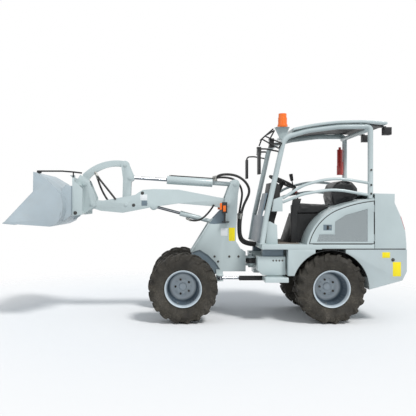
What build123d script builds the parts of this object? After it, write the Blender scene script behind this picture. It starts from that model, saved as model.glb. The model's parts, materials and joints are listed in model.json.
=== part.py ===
from build123d import *
import math
import os

os.makedirs("parts", exist_ok=True)

# A compact articulated yard loader. Millimetres, front towards -X, left side towards -Y,
# ground at Z = 0, origin under the middle of the whole machine.

# Driving sizes
tail_x = 2250
half_width = 625
pivot_x = 575
front_axle_x = -250
rear_axle_x = 1400
tyre_radius = 393
tyre_width = 320
rim_radius = 208
rim_wall = 8
spindle_radius = 35
fit_gap = 0.3
axle_tube_radius = 60
plate = 15
sheet = 12
tower_half = 135
boom_half = 90
link_half = 38
lever_half = 54
coupler_half = 112
body_half = 560
sill_bottom = 829
sill_top = 885
seam = 5
pin_radius = 22
post_radius = 30
roof_half = body_half - 10
post_y = roof_half - 45
roof_wall = 28

# Pins of the arm, as X and Z
boom_pivot = (291, 1339)
boom_tip = (-1332, 1340)
tilt_rear_pin = (374, 1577)
tilt_rod_pin = (-877, 1660)
lever_pivot = (-925, 1334)
lever_top = (-940, 1811)
link_front = (-1415, 1586)
lift_rear_pin = (112, 1125)
lift_rod_pin = (-596, 1312)
steer_rear_pin = (770, -200)
steer_front_pin = (190, -200)
steer_z = 467

wheel_y = half_width - tyre_width / 2
axle_z = tyre_radius


def slab(points, low, high, mode=Mode.ADD):
    """Extrudes an outline in X and Z from low to high across the machine."""
    with BuildSketch(Plane.XZ.offset(-high)) as profile:
        with BuildLine():
            Polyline(*points, close=True)
        make_face()
    extrude(profile.sketch, amount=high - low, mode=mode)


def disc(centre, radius, low, high, mode=Mode.ADD):
    """A round boss, pin or bore across the machine."""
    with BuildSketch(Plane.XZ.offset(-high)) as profile:
        with Locations(centre):
            Circle(radius)
    extrude(profile.sketch, amount=high - low, mode=mode)


def post(centre, radius, low, high, mode=Mode.ADD):
    """A round upright from low to high."""
    with BuildSketch(Plane.XY.offset(low)) as profile:
        with Locations(centre):
            Circle(radius)
    extrude(profile.sketch, amount=high - low, mode=mode)


def block(low, high, mode=Mode.ADD):
    """A box between two corners."""
    sizes = [b - a for a, b in zip(low, high)]
    with Locations(tuple((a + b) / 2 for a, b in zip(low, high))):
        Box(*sizes, mode=mode)


def bar(start, end, radius, begin, finish, mode=Mode.ADD):
    """A round bar in the plane Y = 0 on the line of two pins, between two distances from the first."""
    run = Vector(end[0] - start[0], 0, end[1] - start[1]).normalized()
    foot = Vector(start[0], 0, start[1]) + run * begin
    with BuildSketch(Plane(origin=foot, z_dir=run)) as profile:
        Circle(radius)
    extrude(profile.sketch, amount=finish - begin, mode=mode)


def tube(corners, radii, radius):
    """A round tube along straight runs joined by arcs."""
    with BuildLine() as path:
        FilletPolyline(*corners, radius=radii)
    with BuildSketch(Plane(origin=path.line @ 0, z_dir=path.line % 0)) as profile:
        Circle(radius)
    sweep(profile.sketch, path=path.line)


def distance(a, b):
    return math.hypot(b[0] - a[0], b[1] - a[1])


def save(piece, name):
    piece.part.label = name
    export_step(piece.part, f"parts/{name}.step")


# Wheels: a low broad tyre with slanting lugs on a deep dished rim
bead_radius = 200
bead_half = 130
lug_height = 19
lug_count = 18
lug_turn = 360 / lug_count
carcass = tyre_radius - lug_height
shoulder = 312
# Half of the carcass's section, as distance from the middle plane and radius
tyre_section = [(bead_half, bead_radius), (bead_half, rim_radius + 2), (150, 252), (152, shoulder), (118, carcass - 6), (66, carcass)]
# Half of what bounds the lugs, likewise
lug_bounds = [(0, 300), (146, 300), (160, shoulder + 14), (132, tyre_radius - 6), (70, tyre_radius), (0, tyre_radius)]
# One lug's outline, as distance across the tread and along it
lug_outline = [(4, -20), (4, 6), (62, 34), (170, 92), (170, 52), (62, 2)]
flange_out = 16
disc_face = -84
disc_wall = 14
hub_radius = 82
stud_circle = 84
stud_radius = 11
stud_count = 5

wheels = [
    # name, axle x, side
    ("front_left", front_axle_x, -1),
    ("front_right", front_axle_x, 1),
    ("rear_left", rear_axle_x, -1),
    ("rear_right", rear_axle_x, 1),
]
wheel_section = Plane(origin=(0, 0, 0), x_dir=(0, 1, 0), z_dir=(1, 0, 0))
with BuildPart() as lug:
    with BuildSketch(Plane.XY.offset(300)) as profile:
        with BuildLine():
            Polyline(*[(along, across) for across, along in lug_outline], close=True)
        make_face()
    extrude(profile.sketch, amount=110)
    with BuildSketch(wheel_section):
        with BuildLine():
            Polyline(*lug_bounds, close=True)
        make_face()
    revolve(axis=Axis.Y, mode=Mode.INTERSECT)
with BuildPart() as lugged_tyre:
    with BuildSketch(wheel_section):
        with BuildLine():
            Polyline(*tyre_section, *[(-v, r) for v, r in reversed(tyre_section)], close=True)
        make_face()
    revolve(axis=Axis.Y)
    right_lugs = [lug.part.rotate(Axis.Y, number * lug_turn) for number in range(lug_count)]
    left_lugs = [lug.part.mirror(Plane.XZ).rotate(Axis.Y, (number + 0.5) * lug_turn) for number in range(lug_count)]
    add(right_lugs + left_lugs)
with BuildPart() as dished_rim:
    with BuildSketch(wheel_section):
        with BuildLine():
            Polyline(
                (-bead_half - flange_out, rim_radius),
                (-bead_half - fit_gap, rim_radius),
                (-bead_half - fit_gap, bead_radius - fit_gap),
                (bead_half + fit_gap, bead_radius - fit_gap),
                (bead_half + fit_gap, rim_radius),
                (bead_half + flange_out, rim_radius),
                (bead_half + flange_out, rim_radius - rim_wall),
                (bead_half + 6, rim_radius - 2 * rim_wall),
                (bead_half - 12, rim_radius - 2 * rim_wall - 2),
                (bead_half - 20, bead_radius - 2 * rim_wall - 2),
                (-50, bead_radius - 3 * rim_wall - 4),
                (disc_face + 4, 150),
                (disc_face, 128),
                (disc_face, spindle_radius + fit_gap),
                (disc_face - disc_wall, spindle_radius + fit_gap),
                (disc_face - disc_wall, 135),
                (disc_face - disc_wall + 2, 158),
                (disc_face - 26, bead_radius - 2 * rim_wall),
                (-bead_half - flange_out, bead_radius - rim_wall),
                close=True,
            )
        make_face()
    revolve(axis=Axis.Y)
    with BuildSketch(Plane.XZ.offset(disc_wall / 2 - disc_face)) as profile:
        with PolarLocations(stud_circle, stud_count, start_angle=36):
            Circle(stud_radius)
    extrude(profile.sketch, amount=-disc_wall)
for name, axle_x, side in wheels:
    # the left wheels face -Y, so they are turned half round
    place = Location((axle_x, side * wheel_y, axle_z), (0, 0, 0 if side > 0 else 180))
    with BuildPart() as tyre:
        add(lugged_tyre.part.moved(place))
    save(tyre, f"tyre_{name}")
    with BuildPart() as rim:
        add(dished_rim.part.moved(place))
    save(rim, f"rim_{name}")

# Axles: housing tube with a round middle and a spindle in each hub
axle_middle_radius = 105
axle_middle_half = 55
hub_face = wheel_y + disc_face - disc_wall - seam
for name, axle_x in (("front_axle", front_axle_x), ("rear_axle", rear_axle_x)):
    centre = (axle_x, axle_z)
    with BuildPart() as axle:
        disc(centre, axle_tube_radius, -hub_face + 40, hub_face - 40)
        disc(centre, axle_middle_radius, -axle_middle_half, axle_middle_half)
        disc(centre, hub_radius, hub_face - 40, hub_face)
        disc(centre, hub_radius, -hub_face, 40 - hub_face)
        disc(centre, spindle_radius, -wheel_y - disc_face - 8, wheel_y + disc_face + 8)
    save(axle, name)

# Front half: tower plates, carrier round the axle, ears of the pivot
tower_in = tower_half - plate
tower_boss = 55
carrier_in = 62
ear_upper = (690, 715)
ear_lower = (600, 625)
ear_radius = 65
knuckle_pin = 30
steer_half = 18
steer_slot = 23
steer_fork = 12
steer_pin = 14

with BuildPart() as front_chassis:
    outline = [
        (322, 1592),
        (250, 1400),
        (262, 1290),
        (262, 1110),
        (124, 1100),
        (70, 1105),
        (-143, 763),
        (-45, 795),
        (57, 730),
        (142, 645),
        (202, 554),
        (212, 538),
        (500, 538),
        (500, 773),
        (442, 802),
        (384, 899),
        (408, 1446),
        (426, 1560),
    ]
    for low in (-tower_half, tower_in):
        slab(outline, low, low + plate)
        disc(tilt_rear_pin, tower_boss, low, low + plate)
    # webs between the plates
    slab([(225, 538), (500, 538), (500, 550), (225, 550)], -tower_in, tower_in)
    slab([(384, 899), (369, 899), (393, 1446), (408, 1446)], -tower_in, tower_in)
    # inner ears for the lift cylinder
    for low in (-65, 45):
        slab([(112, 1165), (76, 1125), (112, 1085), (374, 960), (380, 1120)], low, low + 20)
    disc(lift_rear_pin, pin_radius, -72, 72)
    # pins and their bosses
    disc(boom_pivot, pin_radius + 6, -tower_half - 10, tower_half + 10)
    disc(tilt_rear_pin, pin_radius, -tower_half - 10, tower_half + 10)
    for low in (-tower_in, 43):
        disc(tilt_rear_pin, pin_radius + 14, low, low + tower_in - 43)
    # ears of the pivot
    for low, high in (ear_upper, ear_lower):
        block((400, -tower_in, low), (pivot_x - 100, tower_in, high))
        block((pivot_x - 110, -ear_radius, low), (pivot_x, ear_radius, high))
        post((pivot_x, 0), ear_radius, low, high)
    post((pivot_x, 0), knuckle_pin, ear_lower[0] - 25, ear_upper[1] + 25)
    # fork for the steering rod
    fork_in = steer_z - steer_slot - steer_fork
    for low in (fork_in, steer_z + steer_slot):
        block((150, steer_front_pin[1], low), (230, -tower_in, low + steer_fork))
        post(steer_front_pin, 40, low, low + steer_fork)
    block((150, -tower_half, fork_in), (230, -tower_in, 560))
    # stiffening flanges along the sloped front edges
    for side in (-1, 1):
        low, high = sorted((side * tower_in, side * (tower_half + 22)))
        slab([(70, 1105), (-143, 763), (-154, 770), (59, 1112)], low, high)
    disc((front_axle_x, axle_z), axle_tube_radius + fit_gap, -tower_half, tower_half, Mode.SUBTRACT)
save(front_chassis, "front_chassis")

# Carrier: plates inside the tower, down to the axle
with BuildPart() as axle_carrier:
    carrier = [(222, 551), (240, 551), (240, 800), (-60, 800), (-128, 762), (-165, 640), (-330, 520), (-330, 330), (-170, 330), (100, 480)]
    for low in (fit_gap - tower_in, carrier_in):
        slab(carrier, low, low + tower_in - carrier_in - fit_gap)
    slab([(225, 551), (240, 551), (240, 800), (225, 800)], -carrier_in, carrier_in)
    slab([(-330, 330), (-310, 330), (-310, 520), (-330, 520)], -carrier_in, carrier_in)
    disc((front_axle_x, axle_z), axle_tube_radius + fit_gap, -tower_half, tower_half, Mode.SUBTRACT)
    disc((front_axle_x, axle_z), axle_middle_radius + fit_gap, -carrier_in, carrier_in, Mode.SUBTRACT)
save(axle_carrier, "axle_carrier")

# Cheeks: set back behind the tower's front notch
cheek_wall = 14
with BuildPart() as tower_cheeks:
    for low in (fit_gap - tower_in, tower_in - fit_gap - cheek_wall):
        slab([(300, 1262), (205, 1262), (112, 1165), (73, 1108), (90, 1070), (300, 1070)], low, low + cheek_wall)
save(tower_cheeks, "tower_cheeks")

lamp_y = -tower_half - 45
with BuildPart() as lamp_brackets:
    for side in (-1, 1):
        low, high = sorted((side * (tower_half + fit_gap), side * (tower_half + 70)))
        block((215, low, 1120), (300, high, 1132))
        low, high = sorted((side * (tower_half + 25), side * (tower_half + 70)))
        block((238, low, 1132), (256, high, 1230))
        block((215, low, 1230), (275, high, 1360))
save(lamp_brackets, "lamp_brackets")
with BuildPart() as indicator_lenses:
    for side in (-1, 1):
        low, high = sorted((side * (tower_half + 30), side * (tower_half + 65)))
        block((190, low, 1270), (215, high, 1350))
        low, high = sorted((side * (tower_half + 70), side * (tower_half + 82)))
        block((225, low, 1250), (258, high, 1320))
save(indicator_lenses, "indicator_lenses")

# Boom: two side plates with a sunk web, cross tubes and the tip boss
boom_in = boom_half - plate
web_drop = 52
tip_boss = 50
tail_boss = 62
with BuildPart() as boom:
    boom_top = [(-1332, 1390), (-1201, 1380), (-818, 1449), (-727, 1508), (-597, 1518), (-296, 1511), (172, 1421)]
    boom_bottom = [(117, 1311), (-296, 1346), (-500, 1318), (-640, 1296), (-968, 1233), (-1229, 1258), (-1332, 1290)]
    for low in (-boom_half, boom_in):
        slab([*boom_top, (300, 1400), (300, 1278), *boom_bottom], low, low + plate)
        disc(boom_tip, tip_boss, low, low + plate)
        disc(boom_pivot, tail_boss, low, low + plate)
        disc(lift_rod_pin, 46, low, low + plate)
    slab([(-680, 1440), (-640, 1455), (-296, 1455), (0, 1398), (0, 1386), (-296, 1443), (-640, 1443), (-674, 1430)], -boom_in, boom_in)
    slab([(-1240, 1262), (-1000, 1240), (-1000, 1252), (-1240, 1274)], -boom_in, boom_in)
    slab([(-1240, 1360), (-1060, 1385), (-1060, 1373), (-1240, 1348)], -boom_in, boom_in)
    disc(boom_tip, tip_boss, -boom_half - 3, boom_half + 3)
    disc(boom_pivot, tail_boss - 12, -boom_half, boom_half)
    for low in (-tower_in + 3, boom_half):
        disc(boom_pivot, tail_boss - 12, low, low + tower_in - 3 - boom_half)
    disc(lever_pivot, pin_radius, -boom_half - 8, boom_half + 8)
    disc(boom_tip, pin_radius + fit_gap, -boom_half - 4, boom_half + 4, Mode.SUBTRACT)
    disc(boom_pivot, pin_radius + 6 + fit_gap, -tower_in, tower_in, Mode.SUBTRACT)
    # heads of the pin that holds the lift rod
    for low in (-boom_half - 12, boom_half):
        disc(lift_rod_pin, 30, low, low + 12)
save(boom, "boom")

# Lever: two plates on the boom's pin, joined by their tubes
lever_in = lever_half - sheet
with BuildPart() as lever:
    for low in (-lever_half, lever_in):
        slab([(-974, 1340), (-966, 1640), (-988, 1805), (-940, 1859), (-893, 1815), (-829, 1660), (-868, 1600), (-876, 1340)], low, low + sheet)
        disc(lever_pivot, 50, low, low + sheet)
        disc(lever_top, 48, low, low + sheet)
        disc(tilt_rod_pin, 50, low, low + sheet)
    disc(lever_pivot, 44, -boom_in + 5, boom_in - 5)
    disc(lever_top, pin_radius, -lever_half - 10, lever_half + 10)
    for low in (-lever_half - 10, lever_half):
        disc(tilt_rod_pin, 28, low, low + 10)
    disc(lever_pivot, pin_radius + fit_gap, -boom_in, boom_in, Mode.SUBTRACT)
save(lever, "lever")

# Link: an arched flat bar from the lever's top to the coupler
with BuildPart() as link:
    with BuildSketch(Plane.XZ.offset(-28)) as profile:
        with BuildLine():
            crest = ThreePointArc((-915, 1850), (-1180, 1850), (-1455, 1695))
            Line(crest @ 1, (-1455, 1570))
            Line((-1455, 1570), (-1376, 1570))
            Line((-1376, 1570), (-1376, 1640))
            hollow = ThreePointArc((-1376, 1640), (-1240, 1748), (-950, 1780))
            Line(hollow @ 1, crest @ 0)
        make_face()
    extrude(profile.sketch, amount=56)
    disc(lever_top, 44, -link_half, link_half)
    disc(link_front, 44, -coupler_half + 22, coupler_half - 22)
    disc(lever_top, pin_radius + fit_gap, -link_half - 1, link_half + 1, Mode.SUBTRACT)
save(link, "link")

# Quick coupler: two plates with the arm's pins, a face plate and hooks
coupler_in = coupler_half - plate
coupler_face = -1512
coupler_reach = 420
with BuildPart() as coupler:
    side_plate = [
        (-1470, 1690),
        (-1370, 1620),
        (-1285, 1420),
        (-1280, 1320),
        (-1340, 1280),
        (-1440, 1215),
        (-1490, 1215),
        (-1500, 1640),
    ]
    for low in (-coupler_half, coupler_in):
        slab(side_plate, low, low + plate)
    block((coupler_face, -coupler_reach, 1215), (-1490, coupler_reach, 1300))
    # the upper bar leaves room for the link between the side plates
    for low, high in ((-coupler_reach, -coupler_in), (coupler_in, coupler_reach)):
        block((coupler_face, low, 1560), (-1490, high, 1640))
    for low in (-coupler_reach, -coupler_half - 40, coupler_half, coupler_reach - 40):
        block((coupler_face, low, 1300), (-1490, low + 40, 1560))
    disc(boom_tip, pin_radius, -coupler_half - 10, coupler_half + 10)
    for low in (-coupler_half - 10, coupler_half):
        disc(link_front, 30, low, low + 10)
    # end plates, tied to the arm's plates by stiffeners
    end_plate = [(coupler_face, 1600), (-1459, 1578), (-1399, 1516), (-1399, 1216), (-1475, 1206), (coupler_face, 1206)]
    for side in (-1, 1):
        low, high = sorted((side * (coupler_reach - plate), side * coupler_reach))
        slab(end_plate, low, high)
        low, high = sorted((side * (coupler_half - 1), side * (coupler_reach - 1)))
        block((-1491, low, 1216), (-1415, high, 1231))
        block((-1491, low, 1545), (-1440, high, 1560))
    # hooks and lock bolts
    for low in (-400, 340):
        slab([(coupler_face, 1560), (coupler_face, 1640), (-1545, 1668), (-1490, 1668), (-1490, 1560)], low, low + 60)
        disc((-1480, 1262), 16, low - 20, low + 80)
save(coupler, "coupler")

# Bucket: sides, floor and curved back in one bent sheet
bucket_wall = 10
bucket_in = half_width - bucket_wall
with BuildPart() as bucket:
    side_outline = [
        (-2240, 1128),
        (-1723, 1087),
        (-1642, 1128),
        (-1586, 1294),
        (-1600, 1440),
        (-1742, 1600),
        (-1907, 1696),
        (-1911, 1476),
    ]
    with BuildSketch(Plane.XZ.offset(-half_width)) as sheet_outline:
        with BuildLine():
            Polyline((-2250, 1124), (-1723, 1087), (-1642, 1128))
            ThreePointArc((-1642, 1128), (-1582, 1330), (-1690, 1545))
            Polyline((-1690, 1545), (-1742, 1600), (-1907, 1696), (-1907, 1684), (-1749, 1592), (-1698, 1538))
            ThreePointArc((-1698, 1538), (-1594, 1330), (-1650, 1136))
            Polyline((-1650, 1136), (-1725, 1099), (-2240, 1136), (-2250, 1124))
        make_face()
    extrude(sheet_outline.sketch, amount=2 * half_width)
    for low in (-half_width, bucket_in):
        slab(side_outline, low, low + bucket_wall)
    # cutting edge and the folds that stiffen the sides
    slab([(-2250, 1120), (-2248, 1128), (-2120, 1118), (-2120, 1107)], -half_width, half_width)
    for side in (-1, 1):
        low, high = sorted((side * (half_width - 4 * bucket_wall), side * half_width))
        slab([(-1907, 1696), (-1895, 1689), (-1895, 1480), (-1911, 1470)], low, high)
    # sockets for the coupler
    socket_face = coupler_face - fit_gap
    socket = [(socket_face, 1545), (socket_face, 1230), (-1560, 1180), (-1625, 1140), (-1640, 1500), (-1590, 1555)]
    for low in (-400, -360, 340, 380):
        slab(socket, low, low + 20)
save(bucket, "bucket")

# Cylinders of the arm: barrel with a slim tail and an eye, and a rod with an eye
lift_length = distance(lift_rear_pin, lift_rod_pin)
tilt_length = distance(tilt_rear_pin, tilt_rod_pin)
cylinders = [
    # name, rear pin, front pin, eye half width, barrel radius, tail radius, tail end, barrel end, rod radius, rod start
    ("lift", lift_rear_pin, lift_rod_pin, 40, 32, 25, 150, 405, 17.5, 210),
    ("tilt", tilt_rear_pin, tilt_rod_pin, 40, 50, 27, 262, 813, 20, 450),
]
for name, rear, front, eye, barrel_radius, tail_radius, tail_end, barrel_end, rod_radius, rod_start in cylinders:
    length = distance(rear, front)
    with BuildPart() as barrel:
        bar(rear, front, tail_radius, 20, tail_end)
        bar(rear, front, barrel_radius, tail_end, barrel_end)
        disc(rear, 40, -eye, eye)
        bar(rear, front, rod_radius + fit_gap, min(45, tail_end) if name == "lift" else tail_end + 10, barrel_end + 1, Mode.SUBTRACT)
        disc(rear, pin_radius + fit_gap, -eye - 1, eye + 1, Mode.SUBTRACT)
    save(barrel, f"{name}_barrel")
    with BuildPart() as rod:
        bar(rear, front, rod_radius, rod_start, length)
        disc(front, 38, -eye + 5, eye - 5)
    save(rod, f"{name}_rod")

# Steering cylinder, level, beside the pivot
steer_length = steer_rear_pin[0] - steer_front_pin[0]
steer_barrel_end = 355
steer_rod_radius = 14
with BuildPart() as steer_barrel:
    with BuildSketch(Plane(origin=(steer_rear_pin[0] - 41, steer_rear_pin[1], steer_z), z_dir=(-1, 0, 0))) as profile:
        Circle(28)
    extrude(profile.sketch, amount=steer_barrel_end - 41)
    with BuildSketch(Plane(origin=(steer_rear_pin[0] - 20, steer_rear_pin[1], steer_z), z_dir=(-1, 0, 0))) as profile:
        Circle(17)
    extrude(profile.sketch, amount=22)
    post(steer_rear_pin, 30, steer_z - steer_half, steer_z + steer_half)
    with BuildSketch(Plane(origin=(steer_rear_pin[0] - 50, steer_rear_pin[1], steer_z), z_dir=(-1, 0, 0))) as profile:
        Circle(steer_rod_radius + fit_gap)
    extrude(profile.sketch, amount=steer_barrel_end, mode=Mode.SUBTRACT)
    post(steer_rear_pin, steer_pin + fit_gap, steer_z - 40, steer_z + 40, Mode.SUBTRACT)
save(steer_barrel, "steer_barrel")
with BuildPart() as steer_rod:
    with BuildSketch(Plane(origin=(steer_rear_pin[0] - 192, steer_rear_pin[1], steer_z), z_dir=(-1, 0, 0))) as profile:
        Circle(steer_rod_radius)
    extrude(profile.sketch, amount=steer_length - 192)
    post(steer_front_pin, 30, steer_z - steer_half, steer_z + steer_half)
save(steer_rod, "steer_rod")

# Rear half: chassis beam with the pivot's tongue
beam_front = 760
beam_rear = 1800
beam_half = 160
beam_low = 560
arch_radius = 430
with BuildPart() as rear_chassis:
    block((beam_front, -beam_half, beam_low), (beam_rear, beam_half, sill_bottom))
    block((beam_front - 1, -beam_half + sheet, beam_low + sheet), (beam_rear + 1, beam_half - sheet, sill_bottom - sheet), Mode.SUBTRACT)
    block((beam_front, -beam_half, beam_low), (beam_front + sheet, beam_half, sill_bottom))
    # tongue between the ears
    tongue_low = ear_lower[1] + 5
    tongue_high = ear_upper[0] - 5
    block((pivot_x, -50, tongue_low), (beam_front + 5, 50, tongue_high))
    post((pivot_x, 0), 58, tongue_low, tongue_high)
    post((pivot_x, 0), knuckle_pin + fit_gap, tongue_low, tongue_high, Mode.SUBTRACT)
    # saddles on the axle
    for low in (-beam_half, beam_half - 40):
        block((rear_axle_x - 90, low, axle_z), (rear_axle_x + 90, low + 40, beam_low))
    # bracket of the steering cylinder
    bracket_y = steer_rear_pin[1]
    for low in (steer_z - steer_slot - steer_fork, steer_z + steer_slot):
        block((steer_rear_pin[0], bracket_y - 35, low), (870, -beam_half + 40, low + steer_fork))
        post(steer_rear_pin, 35, low, low + steer_fork)
    block((840, bracket_y - 35, steer_z - steer_slot - steer_fork), (870, -beam_half + 40, beam_low))
    block((840, bracket_y - 35, beam_low - 20), (870, -beam_half + 40, beam_low))
    post(steer_rear_pin, steer_pin, steer_z - 45, steer_z + 45)
    disc((rear_axle_x, axle_z), axle_tube_radius + fit_gap, -beam_half - 1, beam_half + 1, Mode.SUBTRACT)
save(rear_chassis, "rear_chassis")

# Floor with its sills, back to the tail
floor_front = 632
deck_rear = 1888
with BuildPart() as floor:
    block((floor_front, -body_half, sill_bottom), (deck_rear, body_half, sill_top))
    block((floor_front + 20, -body_half + 40, sill_bottom - 1), (deck_rear - 20, -beam_half - 20, sill_top - sheet), Mode.SUBTRACT)
    block((floor_front + 20, beam_half + 20, sill_bottom - 1), (deck_rear - 20, body_half - 40, sill_top - sheet), Mode.SUBTRACT)
save(floor, "floor")

# Fender pieces in front of the rear wheels
fender_in = 290
with BuildPart() as rear_fenders:
    for low in (-body_half, fender_in):
        high = low + body_half - fender_in
        slab([(925, 534), (925, sill_bottom), (1230, sill_bottom), (1230, 534)], low, high)
        disc((rear_axle_x, axle_z), arch_radius, low - 1, high + 1, Mode.SUBTRACT)
save(rear_fenders, "rear_fenders")

# Counterweight behind the rear wheels
weight_top = sill_bottom - fit_gap
with BuildPart() as counterweight:
    tail = [(1570, weight_top), (1570, 378), (1816, 378), (2199, 484), (2249, 584), (tail_x, weight_top)]
    slab(tail, -body_half, body_half)
    disc((rear_axle_x, axle_z), arch_radius, -body_half - 1, body_half + 1, Mode.SUBTRACT)
    block((1500, -beam_half - 5, 300), (beam_rear + 5, beam_half + 5, sill_bottom), Mode.SUBTRACT)
    # bore of the tow hitch
    block((2180, -45, 560), (tail_x + 1, 45, 640), Mode.SUBTRACT)
    post((2215, 0), 15, 450, 700, Mode.SUBTRACT)
save(counterweight, "counterweight")

# Engine, closed in
with BuildPart() as engine_block:
    block((1460, -230, sill_top), (2080, 230, 1230))
save(engine_block, "engine_block")

# Engine cover and side doors share one curved outline
cover_foot = (1155, 890)
cover_bend = (1276, 1129)
cover_knee = (1499, 1285)
cover_back = (deck_rear, 1376)


def cover_outline(drop):
    """The curved outline of the engine bay, lowered square to itself by drop."""
    with BuildLine() as line:
        first = ThreePointArc(cover_foot, cover_bend, cover_knee)
        second = TangentArc(cover_knee, cover_back, tangent=first % 1)
        Line(second @ 1, (cover_back[0], cover_foot[1]))
        Line((cover_back[0], cover_foot[1]), cover_foot)
    with BuildSketch(Plane.XZ) as face:
        make_face(line.edges())
        if drop:
            offset(amount=-drop, mode=Mode.REPLACE)
    return face.sketch


cover_lip = 22
door_out = body_half
door_in = body_half - sheet
cover_half = door_in - fit_gap
with BuildPart() as engine_cover:
    shape = cover_outline(-cover_lip)
    extrude(shape.moved(Location((0, body_half, 0))), amount=2 * body_half)
    inner = cover_outline(sheet)
    extrude(inner.moved(Location((0, body_half + 1, 0))), amount=2 * body_half + 2, mode=Mode.SUBTRACT)
    # openings of the doors, down to the stop that each closes against
    for low, high in ((-body_half - 1, -cover_half), (cover_half, body_half + 1)):
        opening = cover_outline(0)
        extrude(opening.moved(Location((0, high, 0))), amount=high - low, mode=Mode.SUBTRACT)
    block((1200, -body_half - 1, sill_top - 1), (deck_rear - 2 * sheet, body_half + 1, cover_foot[1] + 20), Mode.SUBTRACT)
    block((deck_rear - 2 * sheet, -cover_half + 40, sill_top - 1), (deck_rear + 1, cover_half - 40, 1300), Mode.SUBTRACT)
    block((1000, -body_half - 1, sill_bottom), (deck_rear + 100, body_half + 1, sill_top + fit_gap), Mode.SUBTRACT)
    block((deck_rear, -body_half - 1, sill_bottom), (deck_rear + 100, body_half + 1, 1500), Mode.SUBTRACT)
save(engine_cover, "engine_cover")

knuckle_radius = 4
mesh_panel = [(1243, 915), (1272, 998), (1443, 998), (1449, 1143), (1568, 1216), (1814, 1285), (1814, 915)]
door_sides = (("side_door_left", -door_out), ("side_door_right", door_in))
for name, low in door_sides:
    with BuildPart() as side_door:
        shape = cover_outline(seam)
        extrude(shape.moved(Location((0, low + sheet, 0))), amount=sheet)
        # recesses of the mesh panel and of the lock
        face_low, face_high = (low - 1, low + 5) if low < 0 else (low + sheet - 5, low + sheet + 1)
        slab(mesh_panel, face_low, face_high, Mode.SUBTRACT)
        block((1315, face_low, 1040), (1414, face_high, 1108), Mode.SUBTRACT)
        # hinge knuckles on the rear edge
        edge = math.copysign(door_out, low)
        for foot in (920, 1250):
            post((deck_rear - seam, edge), knuckle_radius, foot, foot + 80)
    save(side_door, name)

# Rear hood: a shell open at the front and below
hood_front = deck_rear + seam
hood_low = sill_bottom
hood_top = 1457
hood_outline = [(hood_front, hood_low), (hood_front, hood_top), (2115, 1451), (2112, 1352), (2177, 1206), (2232, 1029), (2244, 896), (2244, hood_low)]
with BuildPart() as rear_hood:
    slab(hood_outline, -body_half, body_half)
    inner = [(hood_front - 1, hood_low - 1), (hood_front - 1, hood_top - sheet), (2103, 1451 - sheet), (2100, 1350), (2165, 1204), (2220, 1027), (2232, 896), (2232, hood_low - 1)]
    slab(inner, -body_half + sheet, body_half - sheet, Mode.SUBTRACT)
    for low in (-340, 260):
        disc((hood_front, hood_top), knuckle_radius + 2, low, low + 80)
save(rear_hood, "rear_hood")

with BuildPart() as tail_lights:
    for low in (-body_half + 30, body_half - 100):
        slab([(2180, 1196), (2226, 1048), (2241, 1053), (2195, 1201)], low, low + 70)
    slab(hood_outline, -body_half, body_half, Mode.SUBTRACT)
save(tail_lights, "tail_lights")

# Step boxes at both sides, with their steps
box_front = 594
box_back = 909
box_in = 330
box_out = 480
with BuildPart() as step_boxes:
    for side in (-1, 1):
        low, high = sorted((side * box_in, side * box_out))
        slab([(box_front, 590), (box_front, 744), (box_back, 744), (box_back, 534), (650, 534)], low, high)
        low, high = sorted((side * (box_in + 40), side * 600))
        block((664, low, 464), (box_back + 14, high, 517))
        low, high = sorted((side * (box_in + 40), side * (box_out - 20)))
        block((700, low, 517), (880, high, 534))
save(step_boxes, "step_boxes")
with BuildPart() as step_hangers:
    for side in (-1, 1):
        low, high = sorted((side * (box_in + 20), side * (box_out - 20)))
        block((655, low, 744), (890, high, sill_top - sheet))
save(step_hangers, "step_hangers")

# Liners inside the rear arches: a curved strip and the wall behind the wheel
liner_wall = 5
liner_in = fender_in - liner_wall
with BuildPart() as arch_liners:
    for low, high in ((-body_half + 6, -liner_in), (liner_in, body_half - 6)):
        disc((rear_axle_x, axle_z), arch_radius - fit_gap, low, high)
    for low, high in ((-body_half, -fender_in), (fender_in, body_half)):
        disc((rear_axle_x, axle_z), arch_radius - fit_gap - liner_wall, low, high, Mode.SUBTRACT)
    block((rear_axle_x - arch_radius, -body_half, -100), (rear_axle_x + arch_radius, body_half, 520), Mode.SUBTRACT)
save(arch_liners, "arch_liners")

# Front shield between the posts
with BuildPart() as front_shield:
    slab([(632, sill_top), (650, sill_top), (695, 1200), (677, 1200)], -455, 455)
    slab([(677, 1200), (695, 1200), (760, 1470), (742, 1470)], -160, 160)
save(front_shield, "front_shield")

# Kick panels behind the front posts
with BuildPart() as kick_panels:
    for low in (-post_y + post_radius + fit_gap, post_y - post_radius - fit_gap - sheet):
        slab([(685, sill_top), (823, sill_top), (815, 1100), (735, 1140), (712, 1140)], low, low + sheet)
save(kick_panels, "kick_panels")

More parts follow.
